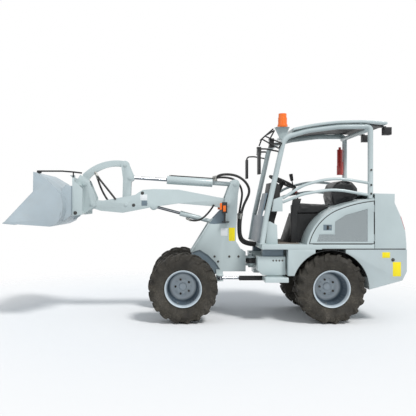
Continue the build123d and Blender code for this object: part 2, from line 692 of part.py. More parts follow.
# Dash console and steering wheel
wheel_hub = (962, 1606)
wheel_tilt = 25
column_axis = Vector(math.sin(math.radians(wheel_tilt)), 0, math.cos(math.radians(wheel_tilt)))
with BuildPart() as dash_console:
    slab([(762, 1270), (762, 1421), (790, 1590), (850, 1600), (905, 1560), (904, 1270)], -160, 160)
    slab([(730, sill_top), (730, 1130), (770, 1270), (890, 1270), (850, 1130), (850, sill_top)], -90, 90)
    block((780, -90, 1260), (880, 90, 1280))
    foot = Vector(wheel_hub[0], 0, wheel_hub[1]) - column_axis * 25
    with BuildSketch(Plane(origin=foot, z_dir=-column_axis)) as profile:
        Circle(28)
    extrude(profile.sketch, amount=230)
save(dash_console, "dash_console")
with BuildPart() as steering_wheel:
    hub = Plane(origin=(wheel_hub[0], 0, wheel_hub[1]), z_dir=column_axis)
    with BuildSketch(Plane(origin=hub.origin, x_dir=column_axis, z_dir=(0, 1, 0))) as profile:
        with Locations((0, 165), (0, -165)):
            Circle(14)
    half = profile.sketch.faces().sort_by(Axis.X)[0]
    revolve(half, axis=Axis(hub.origin, column_axis))
    with BuildSketch(hub.offset(-25 + fit_gap)) as profile:
        Circle(32)
    extrude(profile.sketch, amount=34)
    with BuildSketch(hub.offset(-8)) as profile:
        Rectangle(330, 30)
        Rectangle(30, 330)
    extrude(profile.sketch, amount=10)
save(steering_wheel, "steering_wheel")

# Seat, on its box and against the engine cover
seat_top = 1225


def clear_cover(half):
    """Cuts what stands on the engine cover back to just above it."""
    grown = cover_outline(-cover_lip - fit_gap)
    extrude(grown.moved(Location((0, half + 1, 0))), amount=2 * half + 2, mode=Mode.SUBTRACT)


with BuildPart() as seat_base:
    slab([(973, sill_top), (1085, seat_top), (1400, seat_top), (1400, 1120), (1180, sill_top)], -230, 230)
    clear_cover(230)
save(seat_base, "seat_base")
with BuildPart() as seat_cushion:
    pad = [(1090, fit_gap), (1085, 105), (1130, 120), (1480, 100), (1480, 15), (1300, fit_gap)]
    slab([(x, seat_top + rise) for x, rise in pad], -235, 235)
    clear_cover(235)
save(seat_cushion, "seat_cushion")
with BuildPart() as seat_back:
    rest = [(1490, 25), (1490, 105), (1468, 205), (1505, 350), (1560, 385), (1715, 380), (1785, 300), (1785, 200), (1740, 165), (1620, 120), (1600, 25)]
    slab([(x, seat_top + rise) for x, rise in rest], -230, 230)
    clear_cover(230)
save(seat_back, "seat_back")

with BuildPart() as control_console:
    slab([(1010, 1230), (1035, 1400), (1120, 1400), (1075, 1230)], -330, -250)
    slab([(1000, sill_top), (1010, 1230), (1075, 1230), (1060, sill_top)], -330, -250)
    post((1085, -290), 8, 1400, 1440)
    with Locations((1085, -290, 1455)):
        Sphere(22)
save(control_console, "control_console")

# Roof line, as three points of its arc
roof_arc = [(985, 2190), (1480, 2270), (2039, 2258)]


def roof_underside(x):
    """Height of the roof's lower face at x."""
    (ax, az), (bx, bz), (cx, cz) = [(px, pz - roof_wall) for px, pz in roof_arc]
    span = 2 * (ax * (bz - cz) + bx * (cz - az) + cx * (az - bz))
    a2, b2, c2 = ax**2 + az**2, bx**2 + bz**2, cx**2 + cz**2
    mid_x = (a2 * (bz - cz) + b2 * (cz - az) + c2 * (az - bz)) / span
    mid_z = (a2 * (cx - bx) + b2 * (ax - cx) + c2 * (bx - ax)) / span
    radius = math.hypot(ax - mid_x, az - mid_z)
    return mid_z + math.sqrt(radius**2 - (x - mid_x) ** 2)


# Roll-over frame: two side hoops joined by cross tubes
hoop_foot = sill_top + 9
cross_front = (896, 2060)
cross_radius = 26
hoop_seat = cover_back[1] + cover_lip + fit_gap
rail_drop = post_radius + 3
rails_x = (1150, 1500, 1860)
roof_rail = [(x, roof_underside(x) - rail_drop) for x in rails_x]
hoop = [(642, hoop_foot), (690, 1200), (888, 2088), *roof_rail, (1860, hoop_seat + 6)]
hoop_radii = [200, 150, 600, 900, 45]
with BuildPart() as rops_frame:
    for side in (-1, 1):
        corners = [(x, side * post_y, z) for x, z in hoop]
        tube(corners, hoop_radii, post_radius)
        with Locations((1860, side * post_y, hoop_seat + 6)):
            Box(55, 80, 12)
        with Locations((645, side * post_y, sill_top + 6)):
            Box(70, 80, 12)
        # pads that carry the roof
        for x in (1150, 1750):
            with BuildSketch(Plane.XY.offset(roof_underside(x) - post_radius)) as profile:
                with Locations((x, side * post_y)):
                    Circle(16)
            extrude(profile.sketch, amount=min(roof_underside(x - 16), roof_underside(x + 16)) - fit_gap - roof_underside(x) + post_radius)
    for x, z in (cross_front, (1830, 2175)):
        disc((x, z), cross_radius, -post_y, post_y)
save(rops_frame, "rops_frame")

# Roof: a shallow dome of constant thickness
def roof_face(grow):
    """The roof's section in X and Z, grown by a gap."""
    with BuildSketch(Plane.XZ) as face:
        with BuildLine():
            top = ThreePointArc(*roof_arc)
            low_edge = ThreePointArc(*[(x, z - roof_wall) for x, z in reversed(roof_arc)])
            Line(top @ 1, low_edge @ 0)
            Line(low_edge @ 1, top @ 0)
        make_face()
        if grow:
            offset(amount=grow, mode=Mode.REPLACE)
    return face.sketch


with BuildPart() as roof:
    extrude(roof_face(0).moved(Location((0, roof_half, 0))), amount=2 * roof_half)
save(roof, "roof")

# Arm rails at both sides, two at each side
rails = [
    # corners as X and Z, and the radii of the bends
    ([(874, 1402), (1100, 1550), (1450, 1640), (1840, 1575)], [500, 900]),
    ([(873, 1358), (1100, 1450), (1450, 1510), (1840, 1440)], [500, 900]),
]
with BuildPart() as arm_rails:
    for side in (-1, 1):
        # box on the front post that the rails start from
        low, high = sorted((side * (post_y - post_radius), side * (post_y + post_radius)))
        slab([(752, 1255), (770, 1390), (866, 1425), (866, 1255)], low, high)
        for corners, radii in rails:
            tube([(x, side * post_y, z) for x, z in corners], radii, 16)
        post((1860, side * post_y), post_radius + fit_gap, 1400, 1700, Mode.SUBTRACT)
save(arm_rails, "arm_rails")

# Beacon on its bracket, which stands on the front cross tube
beacon_y = -420
beacon_low = 2213
beacon_x = 886
with BuildPart() as beacon_bracket:
    stand = [(862, 2070), (930, 2070), (950, 2174), (967, beacon_low - 4), (967, beacon_low), (793, beacon_low), (793, beacon_low - 4)]
    slab(stand, beacon_y - 4, beacon_y + 4)
    block((806, beacon_y - 45, beacon_low - 4), (960, beacon_y + 45, beacon_low))
    disc(cross_front, cross_radius + fit_gap, beacon_y - 60, beacon_y + 60, Mode.SUBTRACT)
save(beacon_bracket, "beacon_bracket")
with BuildPart() as beacon:
    post((beacon_x, beacon_y), 58, beacon_low, beacon_low + 30)
    post((beacon_x, beacon_y), 51, beacon_low + 30, beacon_low + 110)
    post((beacon_x, beacon_y), 46, beacon_low + 110, beacon_low + 155)
save(beacon, "beacon")

with BuildPart() as mirrors:
    for side in (-1, 1):
        low, high = sorted((side * (post_y - 5), side * (post_y + 115)))
        block((585, low, 1670), (610, high, 1915))
        arm_y = side * (post_y + 55)
        arm = [(597, arm_y, 1900), (597, arm_y, 1955), (690, side * (post_y + 25), 1955), (821, side * (post_y + 3), 1930)]
        tube(arm, [40, 40], 9)
save(mirrors, "mirrors")

with BuildPart() as worklights:
    for side in (-1, 1):
        low, high = sorted((side * (post_y - 170), side * (post_y - 80)))
        block((2045, low, 2130), (2130, high, 2215))
        low, high = sorted((side * (post_y - 135), side * (post_y - 115)))
        block((2010, low, 2214), (2080, high, roof_underside(2039) - fit_gap))
        low, high = sorted((side * (post_y - 65), side * (post_y + 35)))
        block((720, low, 1975), (770, high, 2075))
        low, high = sorted((side * (post_y - 10), side * (post_y + 10)))
        block((770, low, 2005), (838.4, high, 2025))
save(worklights, "worklights")

# Extinguisher: bottle in a foot, held by a clamp on the rear post
bottle = (1785, post_y - 45)
bottle_radius = 35
bottle_foot = 1714
with BuildPart() as extinguisher:
    post(bottle, bottle_radius + 3, bottle_foot, bottle_foot + 116)
    post(bottle, bottle_radius, bottle_foot + 116, 2040)
    post(bottle, 16, 2040, 2071)
    block((bottle[0] + 5, post_y - 43, 1740), (1831, post_y - 5, 1880))
    post((1860, post_y), post_radius + fit_gap, 1700, 1900, Mode.SUBTRACT)
save(extinguisher, "extinguisher")
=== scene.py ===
# %% [markdown]
# # A compact yard loader
# This notebook dresses a small articulated wheel loader: tyres, paint, glass, hoses, seat
# and all the small iron that makes a machine look used. The exact shapes come from a CAD
# model, which is loaded as a fixed frame. Everything here is in metres: the front points
# to -X, the left side to -Y, and Z is up.

# %% Open the frame
import json
import math

import bpy
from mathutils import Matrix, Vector

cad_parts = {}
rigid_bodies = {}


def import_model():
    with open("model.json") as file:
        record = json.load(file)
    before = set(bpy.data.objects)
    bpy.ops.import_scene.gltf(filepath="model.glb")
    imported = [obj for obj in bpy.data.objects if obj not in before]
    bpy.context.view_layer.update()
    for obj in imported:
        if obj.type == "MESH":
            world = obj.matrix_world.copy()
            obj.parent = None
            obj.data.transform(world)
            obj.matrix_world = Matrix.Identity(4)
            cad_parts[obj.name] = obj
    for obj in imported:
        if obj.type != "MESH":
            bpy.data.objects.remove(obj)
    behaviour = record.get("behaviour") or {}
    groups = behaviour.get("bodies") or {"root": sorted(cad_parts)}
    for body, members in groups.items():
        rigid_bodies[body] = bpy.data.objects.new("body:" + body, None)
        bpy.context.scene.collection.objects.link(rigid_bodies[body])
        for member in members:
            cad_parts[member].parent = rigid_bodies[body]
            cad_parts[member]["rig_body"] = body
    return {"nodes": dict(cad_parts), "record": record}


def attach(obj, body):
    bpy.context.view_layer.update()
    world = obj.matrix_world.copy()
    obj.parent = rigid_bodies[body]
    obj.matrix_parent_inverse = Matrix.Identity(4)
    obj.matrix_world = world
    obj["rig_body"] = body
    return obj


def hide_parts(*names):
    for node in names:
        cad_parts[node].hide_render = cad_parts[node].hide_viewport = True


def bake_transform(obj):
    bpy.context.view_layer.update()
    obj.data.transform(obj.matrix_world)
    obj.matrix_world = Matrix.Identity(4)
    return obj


bpy.ops.object.select_all(action="SELECT")
bpy.ops.object.delete()
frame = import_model()
nodes = frame["nodes"]
bodies = {node: nodes[node]["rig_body"] for node in nodes}
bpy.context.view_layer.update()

# %% [markdown]
# ## Working by hand, from a script
# Blender's operators act on whatever is selected, as they do under the mouse. So two small
# helpers come first: one drops every selection, one selects a single piece. A third picks
# faces or points by a test on their place, which replaces clicking on them. Selecting by
# number would be shorter, but the numbers change with every edit.


# %% Selecting
def clear():
    """Nothing selected, and object mode."""
    if bpy.context.mode != "OBJECT":
        bpy.ops.object.mode_set(mode="OBJECT")
    bpy.ops.object.select_all(action="DESELECT")


def only(piece):
    """Selects one piece and makes it active."""
    clear()
    piece.select_set(True)
    bpy.context.view_layer.objects.active = piece
    return piece


def edit(piece, kind="FACE", test=None):
    """Opens a piece in edit mode with what passes the test, on place and normal, selected."""
    only(piece)
    mesh = piece.data
    for group in (mesh.vertices, mesh.edges, mesh.polygons):
        group.foreach_set("select", [False] * len(group))
    if kind == "FACE":
        for face in mesh.polygons:
            face.select = test is None or test(face.center, face.normal)
    else:
        for point in mesh.vertices:
            point.select = test is None or test(point.co, point.normal)
    bpy.ops.object.mode_set(mode="EDIT")
    bpy.ops.mesh.select_mode(type=kind)


def finished(piece, name, angle=32):
    """Applies place and size, and shades the piece smooth but for its sharp edges."""
    only(piece)
    bpy.ops.object.transform_apply(location=True, rotation=True, scale=True)
    bpy.ops.object.shade_smooth_by_angle(angle=math.radians(angle))
    piece.name = name
    piece.data.name = name
    return piece


def apply_all(piece):
    """Applies the modifiers of a piece, first to last."""
    only(piece)
    for step in list(piece.modifiers):
        bpy.ops.object.modifier_apply(modifier=step.name)


print("helpers ready")

# %% [markdown]
# ## Camera
# The photograph was taken straight from the side with a normal lens, a little ahead of the
# middle. The lens and its place were worked out from the wheels, whose rims are 15 inches,
# so the camera here needs no rotation but a quarter turn, and a small shift for the framing.

# %% Camera
pixels = 416
focal_px = 588
axis_px = (175, 205)
eye = (-0.340, -7.125, 1.327)
sensor_mm = 36
lens = bpy.data.cameras.new("camera")
lens.sensor_width = sensor_mm
lens.lens = focal_px / pixels * sensor_mm
lens.shift_x = (pixels / 2 - axis_px[0]) / pixels
lens.shift_y = (axis_px[1] - pixels / 2) / pixels
camera = bpy.data.objects.new("camera", lens)
camera.location = eye
camera.rotation_euler = (math.radians(90), 0, 0)
bpy.context.scene.collection.objects.link(camera)
bpy.context.scene.camera = camera
print("lens", round(lens.lens, 2), "mm, shift", round(lens.shift_x, 4), round(lens.shift_y, 4))

# %% [markdown]
# ## Light
# A soft sky lights everything a little, and a broad sun from above and ahead gives the
# shapes their light and shaded sides. Camera, mirror and glass rays see plain white, so
# the background is white without any more light on the machine.

# %% Sky and sun
sky_colour = (0.86, 0.93, 1.0, 1)
sky_strength = 0.52
background_colour = (1, 1, 1, 1)
background_strength = 1.0
key_strength, key_spread, key_direction = 2.0, 12, (-0.42, 0.60, -0.90)
fill_strength, fill_spread, fill_direction = 0.35, 60, (0.6, 0.5, -0.4)
world = bpy.data.worlds.new("studio")
bpy.context.scene.world = world
world.use_nodes = True
sky = world.node_tree
sky.nodes.clear()
rays = sky.nodes.new("ShaderNodeLightPath")
seen = sky.nodes.new("ShaderNodeMath")
seen.operation = "MAXIMUM"
sky.links.new(rays.outputs["Is Camera Ray"], seen.inputs[0])
shown = sky.nodes.new("ShaderNodeMath")
shown.operation = "MAXIMUM"
sky.links.new(rays.outputs["Is Glossy Ray"], shown.inputs[0])
sky.links.new(rays.outputs["Is Transmission Ray"], shown.inputs[1])
sky.links.new(shown.outputs[0], seen.inputs[1])
soft = sky.nodes.new("ShaderNodeBackground")
soft.inputs["Color"].default_value = sky_colour
soft.inputs["Strength"].default_value = sky_strength
plain = sky.nodes.new("ShaderNodeBackground")
plain.inputs["Color"].default_value = background_colour
plain.inputs["Strength"].default_value = background_strength
either = sky.nodes.new("ShaderNodeMixShader")
sky.links.new(seen.outputs[0], either.inputs["Fac"])
sky.links.new(soft.outputs[0], either.inputs[1])
sky.links.new(plain.outputs[0], either.inputs[2])
world_out = sky.nodes.new("ShaderNodeOutputWorld")
sky.links.new(either.outputs[0], world_out.inputs["Surface"])


def sun(name, strength, spread, direction):
    """A distant lamp of some angular width that shines along a direction."""
    lamp = bpy.data.lights.new(name, "SUN")
    lamp.energy = strength
    lamp.angle = math.radians(spread)
    lamp_object = bpy.data.objects.new(name, lamp)
    lamp_object.rotation_mode = "QUATERNION"
    lamp_object.rotation_quaternion = Vector(direction).to_track_quat("-Z", "Y")
    bpy.context.scene.collection.objects.link(lamp_object)


sun("key", key_strength, key_spread, key_direction)
sun("fill", fill_strength, fill_spread, fill_direction)
print("world and two suns")

# %% [markdown]
# ## Effects that several finishes share
# Paint, rubber and iron on a working machine share a few effects: dust that lies low down,
# edges rubbed by hands and boots, and a slight unevenness. Each is a node group with named
# inputs, built once, so every finish can use it with its own values. A group could also
# hold the whole finish, but then each material would look alike.


# %% Building node groups
noise_roughness = 0.55


def new_group(name, inputs, outputs):
    """An empty shader node group with named sockets."""
    group = bpy.data.node_groups.new(name, "ShaderNodeTree")
    for label, kind, value in inputs:
        socket = group.interface.new_socket(name=label, in_out="INPUT", socket_type=kind)
        socket.default_value = value
    for label, kind in outputs:
        group.interface.new_socket(name=label, in_out="OUTPUT", socket_type=kind)
    start = group.nodes.new("NodeGroupInput")
    end = group.nodes.new("NodeGroupOutput")
    return group, start, end


def noise(tree, scale, detail):
    """Noise on Object coordinates, as many spots to a metre as its scale. Gives the Fac socket."""
    where = tree.nodes.new("ShaderNodeTexCoord")
    cloud = tree.nodes.new("ShaderNodeTexNoise")
    cloud.inputs["Scale"].default_value = scale
    cloud.inputs["Detail"].default_value = detail
    cloud.inputs["Roughness"].default_value = noise_roughness
    tree.links.new(where.outputs["Object"], cloud.inputs["Vector"])
    return cloud.outputs["Fac"]


def remap(tree, value, low, high, to_low=0.0, to_high=1.0):
    """Stretches a value's range low..high to to_low..to_high, clamped."""
    ramp = tree.nodes.new("ShaderNodeMapRange")
    ramp.inputs["From Min"].default_value = low
    ramp.inputs["From Max"].default_value = high
    ramp.inputs["To Min"].default_value = to_low
    ramp.inputs["To Max"].default_value = to_high
    tree.links.new(value, ramp.inputs["Value"])
    return ramp.outputs["Result"]


def times(tree, a, b, operation="MULTIPLY"):
    """Two values, or a value and a number, put through a math node."""
    both = tree.nodes.new("ShaderNodeMath")
    both.operation = operation
    for socket, value in zip(both.inputs, (a, b)):
        if isinstance(value, (int, float)):
            socket.default_value = value
        else:
            tree.links.new(value, socket)
    return both.outputs[0]


def mixed(tree, factor, first, second):
    """A colour mix: first where factor is 0, second where it is 1."""
    blend = tree.nodes.new("ShaderNodeMix")
    blend.data_type = "RGBA"
    for socket, value in ((blend.inputs[0], factor), (blend.inputs[6], first), (blend.inputs[7], second)):
        if isinstance(value, (int, float)):
            socket.default_value = value
        elif isinstance(value, tuple):
            socket.default_value = (*value[:3], 1.0)
        else:
            tree.links.new(value, socket)
    return blend.outputs[2]


print("node helpers ready")

# %% [markdown]
# ## Dust, rubbed edges and mottle
# Dust is thickest near the ground, in clouds with fine specks. An edge is found by comparing
# the true normal with one that is rounded over a few millimetres: where they part, paint has
# been rubbed. Mottle swings the brightness of a colour a little, as sun and rain do. Painting
# these by hand on every piece would look the same, but it would have to be done 50 times.

# %% Dust, rubbed edges and mottle
wear_width = 0.006
wear_samples = 4
dust_group, start, end = new_group(
    "low_dust",
    [("Amount", "NodeSocketFloat", 0.3), ("Reach", "NodeSocketFloat", 0.8)],
    [("Mask", "NodeSocketFloat")],
)
place = dust_group.nodes.new("ShaderNodeTexCoord")
axes = dust_group.nodes.new("ShaderNodeSeparateXYZ")
dust_group.links.new(place.outputs["Object"], axes.inputs[0])
share = times(dust_group, axes.outputs["Z"], start.outputs["Reach"], "DIVIDE")
low_down = remap(dust_group, share, 0.0, 1.0, 1.0, 0.12)
clouds = remap(dust_group, noise(dust_group, 6.0, 6.0), 0.35, 0.72)
specks = remap(dust_group, noise(dust_group, 60.0, 3.0), 0.45, 0.75)
patchy = times(dust_group, clouds, times(dust_group, specks, 0.5, "ADD"))
masked = times(dust_group, times(dust_group, low_down, patchy), start.outputs["Amount"])
dust_group.links.new(masked, end.inputs["Mask"])

edge_group, start, end = new_group(
    "rubbed_edges",
    [("Amount", "NodeSocketFloat", 0.5)],
    [("Mask", "NodeSocketFloat")],
)
rounded = edge_group.nodes.new("ShaderNodeBevel")
rounded.samples = wear_samples
rounded.inputs["Radius"].default_value = wear_width
flat = edge_group.nodes.new("ShaderNodeNewGeometry")
agree = edge_group.nodes.new("ShaderNodeVectorMath")
agree.operation = "DOT_PRODUCT"
edge_group.links.new(rounded.outputs[0], agree.inputs[0])
edge_group.links.new(flat.outputs["Normal"], agree.inputs[1])
edges = remap(edge_group, agree.outputs["Value"], 0.995, 0.90)
broken = remap(edge_group, noise(edge_group, 35.0, 5.0), 0.42, 0.62)
worn = times(edge_group, times(edge_group, edges, broken), start.outputs["Amount"])
edge_group.links.new(worn, end.inputs["Mask"])

mottle_group, start, end = new_group(
    "mottle",
    [("Color", "NodeSocketColor", (0.5, 0.5, 0.5, 1)), ("Amount", "NodeSocketFloat", 0.06)],
    [("Color", "NodeSocketColor"), ("Fine", "NodeSocketFloat")],
)
broad = noise(mottle_group, 2.2, 3.0)
fine = noise(mottle_group, 180.0, 2.0)
swing = remap(mottle_group, broad, 0.3, 0.7, -1.0, 1.0)
push = times(mottle_group, swing, start.outputs["Amount"])
tone = mottle_group.nodes.new("ShaderNodeHueSaturation")
mottle_group.links.new(times(mottle_group, push, 1.0, "ADD"), tone.inputs["Value"])
mottle_group.links.new(start.outputs["Color"], tone.inputs["Color"])
mottle_group.links.new(tone.outputs["Color"], end.inputs["Color"])
mottle_group.links.new(fine, end.inputs["Fine"])
print("groups:", [g.name for g in bpy.data.node_groups])


# %% [markdown]
# ## Finishes
# Each finish starts from one colour. The mottle group varies it a little, rubbed edges lay
# a second colour over the corners, and dust lies over both. Roughness varies in patches,
# and a very fine bump breaks up the light a little even on a smooth coat.


# %% A finish from a few named values
coat_roughness = 0.12
grain_depth = 0.002
dust_dulls = 0.35


def finish(
    name, colour, rough, metal=0.0, edge=None, edge_amount=0.5, dust=0.3,
    reach=0.9, grain=0.02, coat=0.0, mottle=0.05, bump_scale=None,
):
    """A material of one ground colour with mottle, rubbed edges, dust and fine grain."""
    material = bpy.data.materials.new(name)
    material.use_nodes = True
    tree = material.node_tree
    shader = tree.nodes["Principled BSDF"]
    ground = tree.nodes.new("ShaderNodeGroup")
    ground.node_tree = mottle_group
    ground.inputs["Color"].default_value = (*colour, 1)
    ground.inputs["Amount"].default_value = mottle
    surface = ground.outputs["Color"]
    if edge is not None:
        rubbed = tree.nodes.new("ShaderNodeGroup")
        rubbed.node_tree = edge_group
        rubbed.inputs["Amount"].default_value = edge_amount
        surface = mixed(tree, rubbed.outputs["Mask"], surface, edge)
    dusty = tree.nodes.new("ShaderNodeGroup")
    dusty.node_tree = dust_group
    dusty.inputs["Amount"].default_value = dust
    dusty.inputs["Reach"].default_value = reach
    surface = mixed(tree, dusty.outputs["Mask"], surface, dust_colour)
    tree.links.new(surface, shader.inputs["Base Color"])
    patches = noise(tree, 14.0, 5.0)
    dull = remap(tree, patches, 0.3, 0.75, rough * 0.85, min(1.0, rough * 1.25))
    spread = times(tree, dusty.outputs["Mask"], dust_dulls)
    tree.links.new(times(tree, dull, spread, "ADD"), shader.inputs["Roughness"])
    shader.inputs["Metallic"].default_value = metal
    shader.inputs["Coat Weight"].default_value = coat
    shader.inputs["Coat Roughness"].default_value = coat_roughness
    bump = tree.nodes.new("ShaderNodeBump")
    bump.inputs["Strength"].default_value = grain
    bump.inputs["Distance"].default_value = grain_depth
    height = ground.outputs["Fine"] if bump_scale is None else noise(tree, bump_scale, 6.0)
    tree.links.new(height, bump.inputs["Height"])
    tree.links.new(bump.outputs[0], shader.inputs["Normal"])
    return material


def srgb(red, green, blue):
    """A screen colour 0..255 as the linear colour that nodes use."""
    parts = [v / 255 for v in (red, green, blue)]
    return tuple(p / 12.92 if p <= 0.04045 else ((p + 0.055) / 1.055) ** 2.4 for p in parts)


print("finish helper ready")

# %% [markdown]
# ## The machine's finishes
# The bodywork wears a pale grey paint and the chassis a slate grey one. Then come bare and
# chromed iron, black plastic, vinyl, rubber, coloured lenses and glass. One table holds them
# all, because their colours have to suit each other. Each row gives a name, a colour as it
# shows on screen and a roughness, and then only what departs from the usual values.

# %% The machine's finishes
dust_colour = srgb(176, 166, 148)
looks = {
    "body_paint": finish(
        "pale_paint", srgb(192, 204, 204), 0.34, edge=srgb(226, 234, 233), dust=0.22, coat=0.25,
        grain=0.015,
    ),
    "frame_paint": finish(
        "slate_paint", srgb(108, 124, 134), 0.42, edge=srgb(150, 160, 165), dust=0.3, coat=0.1,
    ),
    "dark_steel": finish("dark_frame_paint", srgb(46, 50, 54), 0.48, edge=srgb(120, 122, 124), dust=0.45),
    "bucket_paint": finish(
        "bucket_paint", srgb(178, 190, 196), 0.45, edge=srgb(140, 138, 134), edge_amount=0.8,
        dust=0.3, reach=2.2, mottle=0.09,
    ),
    "rim_paint": finish(
        "rim_paint", srgb(196, 208, 216), 0.30, edge=srgb(232, 238, 240), dust=0.35, coat=0.3,
    ),
    "cast_weight": finish(
        "cast_weight", srgb(186, 197, 198), 0.5, edge=srgb(212, 220, 219), dust=0.25, grain=0.12,
        bump_scale=90.0,
    ),
    "axle_iron": finish(
        "axle_iron", srgb(50, 50, 50), 0.62, edge=srgb(110, 108, 104), dust=0.7, grain=0.2,
        bump_scale=120.0,
    ),
    "engine_iron": finish(
        "engine_iron", srgb(70, 70, 72), 0.6, edge=srgb(120, 120, 120), dust=0.4, grain=0.25,
        bump_scale=100.0,
    ),
    "rod_chrome": finish("rod_chrome", srgb(150, 154, 160), 0.14, metal=1.0, dust=0.05, grain=0.004),
    "black_plastic": finish(
        "black_plastic", srgb(24, 25, 27), 0.55, edge=srgb(60, 60, 62), dust=0.14, grain=0.12,
        bump_scale=420.0,
    ),
    "seat_vinyl": finish("seat_vinyl", srgb(22, 23, 25), 0.42, dust=0.08, grain=0.25, bump_scale=700.0),
    "hose_rubber": finish("hose_rubber", srgb(26, 26, 27), 0.5, dust=0.3, grain=0.1, bump_scale=500.0),
    "tyre_rubber": finish(
        "tyre_rubber", srgb(38, 35, 30), 0.8, edge=srgb(74, 68, 58), edge_amount=0.6, dust=0.22,
        reach=1.0, grain=0.3, bump_scale=240.0, mottle=0.12,
    ),
    "orange_lens": finish("orange_lens", srgb(255, 116, 0), 0.25, dust=0.03, coat=0.2, grain=0.01),
    "red_lens": finish("red_lens", srgb(190, 18, 22), 0.25, dust=0.05, coat=0.2, grain=0.01),
    "lamp_glass": finish("lamp_glass", srgb(214, 214, 208), 0.12, dust=0.1, coat=0.8, grain=0.01),
    "white_plate": finish("white_plate", srgb(238, 240, 240), 0.3, dust=0.1, grain=0.01),
    "yellow_plate": finish("yellow_plate", srgb(250, 228, 20), 0.3, dust=0.1, grain=0.01),
    "mirror_glass": finish("mirror_glass", srgb(225, 230, 235), 0.04, metal=1.0, dust=0.03, grain=0.002),
    "bolt_zinc": finish(
        "bolt_zinc", srgb(150, 150, 146), 0.35, metal=0.9, edge=srgb(200, 200, 196), dust=0.3,
    ),
    "floor_mat": finish(
        "floor_mat", srgb(118, 108, 98), 0.8, dust=0.5, reach=1.6, grain=0.4, bump_scale=160.0,
    ),
    "red_paint": finish(
        "red_paint", srgb(200, 50, 42), 0.3, edge=srgb(220, 120, 110), dust=0.15, coat=0.4,
    ),
}
print(len(looks), "finishes")

# %% [markdown]
# ## Every CAD piece gets its finish, and its edges are rounded
# Real plate never has a perfectly sharp corner: the small round catches a line of light.
# The CAD pieces keep their shape, so each is copied, its loose triangles are merged into
# faces, and a Bevel modifier rounds the sharp edges. The copy then stands for the CAD piece.
# Only the arch liners are painted as they are, because their sheet is too thin to round.

# %% Rounded copies
merge_within = 0.00002
flat_within = 1.0
sharp_angle = 38
slots = {row["node"]: row["material_slot"] for row in frame["record"]["subparts"]}


def rounded_copy(node, width):
    """A merged copy of a CAD piece with rounded edges, which stands for it."""
    only(nodes[node])
    bpy.ops.object.duplicate()
    piece = bpy.context.active_object
    body = piece["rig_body"]
    for key in list(piece.keys()):
        del piece[key]
    piece.parent = None
    piece.data.materials.clear()
    bpy.ops.object.mode_set(mode="EDIT")
    bpy.ops.mesh.select_all(action="SELECT")
    bpy.ops.mesh.remove_doubles(threshold=merge_within)
    bpy.ops.mesh.dissolve_limited(angle_limit=math.radians(flat_within))
    bpy.ops.object.mode_set(mode="OBJECT")
    step = piece.modifiers.new("round", "BEVEL")
    step.width = width
    step.segments = 2
    step.limit_method = "ANGLE"
    step.angle_limit = math.radians(sharp_angle)
    step.use_clamp_overlap = True
    apply_all(piece)
    finished(piece, node + "_dressed")
    piece.data.materials.append(looks[slots[node]])
    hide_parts(node)
    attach(piece, body)
    return piece


usual_width = 0.003
edge_widths = {
    "counterweight": 0.012, "rear_hood": 0.010, "seat_base": 0.012, "dash_console": 0.012,
    "control_console": 0.010, "roof": 0.006, "beacon": 0.008, "side_door_left": 0.005,
    "side_door_right": 0.005, "mirrors": 0.006, "worklights": 0.006,
}
own_pieces = ("seat_cushion", "seat_back")
dressed = {}
slots["beacon_bracket"] = "body_paint"
for node in sorted(nodes):
    if node in own_pieces:
        continue
    if node == "arch_liners":
        nodes[node].material_slots[0].material = looks[slots[node]]
        continue
    dressed[node] = rounded_copy(node, edge_widths.get(node, usual_width))
face_count = sum(len(piece.data.polygons) for piece in dressed.values())
print("dressed", len(dressed), "pieces,", face_count, "faces")

# %% [markdown]
# ## The seat
# A driver's seat is foam in a vinyl cover: it bulges between its edges and pulls in at the
# corners. A bevelled block never looks like that, so the cushion is blown up: its skin is
# remeshed into even squares, and a short cloth run with air pressure rounds it. The result
# is applied, and no point may move more than a set distance.

# %% Blowing up a cushion
even_size = 0.009
air_pressure = 4
air_frames = 20


def inflated(node, shrink, most):
    """A stuffed piece made from the plain block of a CAD cushion, which it replaces."""
    only(nodes[node])
    bpy.ops.object.duplicate()
    piece = bpy.context.active_object
    body = piece["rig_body"]
    for key in list(piece.keys()):
        del piece[key]
    piece.parent = None
    piece.data.materials.clear()
    bpy.ops.object.origin_set(type="ORIGIN_GEOMETRY", center="BOUNDS")
    piece.scale = shrink
    bpy.ops.object.transform_apply(location=True, rotation=True, scale=True)
    even = piece.modifiers.new("even", "REMESH")
    even.mode = "VOXEL"
    even.voxel_size = even_size
    soften = piece.modifiers.new("soften", "SMOOTH")
    soften.factor = 0.5
    soften.iterations = 4
    apply_all(piece)
    before = [point.co.copy() for point in piece.data.vertices]
    air = piece.modifiers.new("air", "CLOTH")
    air.settings.quality = 4
    air.settings.use_pressure = True
    air.settings.uniform_pressure_force = air_pressure
    air.settings.effector_weights.gravity = 0
    for count in range(1, air_frames + 1):
        bpy.context.scene.frame_set(count)
    apply_all(piece)
    bpy.context.scene.frame_set(1)
    for point, old in zip(piece.data.vertices, before):
        way = point.co - old
        if way.length > most:
            point.co = old + way * (most / way.length)
    finer = piece.modifiers.new("finer", "SUBSURF")
    finer.levels = 1
    finer.render_levels = 1
    apply_all(piece)
    finished(piece, node + "_stuffed", 60)
    piece.data.materials.append(looks["seat_vinyl"])
    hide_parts(node)
    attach(piece, body)
    return piece


bulge = 0.010
back_shift = 0.03
cushion = inflated("seat_cushion", (0.97, 0.97, 0.9), bulge)
rest = inflated("seat_back", (0.96, 0.97, 0.96), bulge)
edit(rest, "VERT")
bpy.ops.transform.translate(value=(back_shift, 0, 0))
clear()
print("cushion", len(cushion.data.polygons), "faces, back", len(rest.data.polygons))

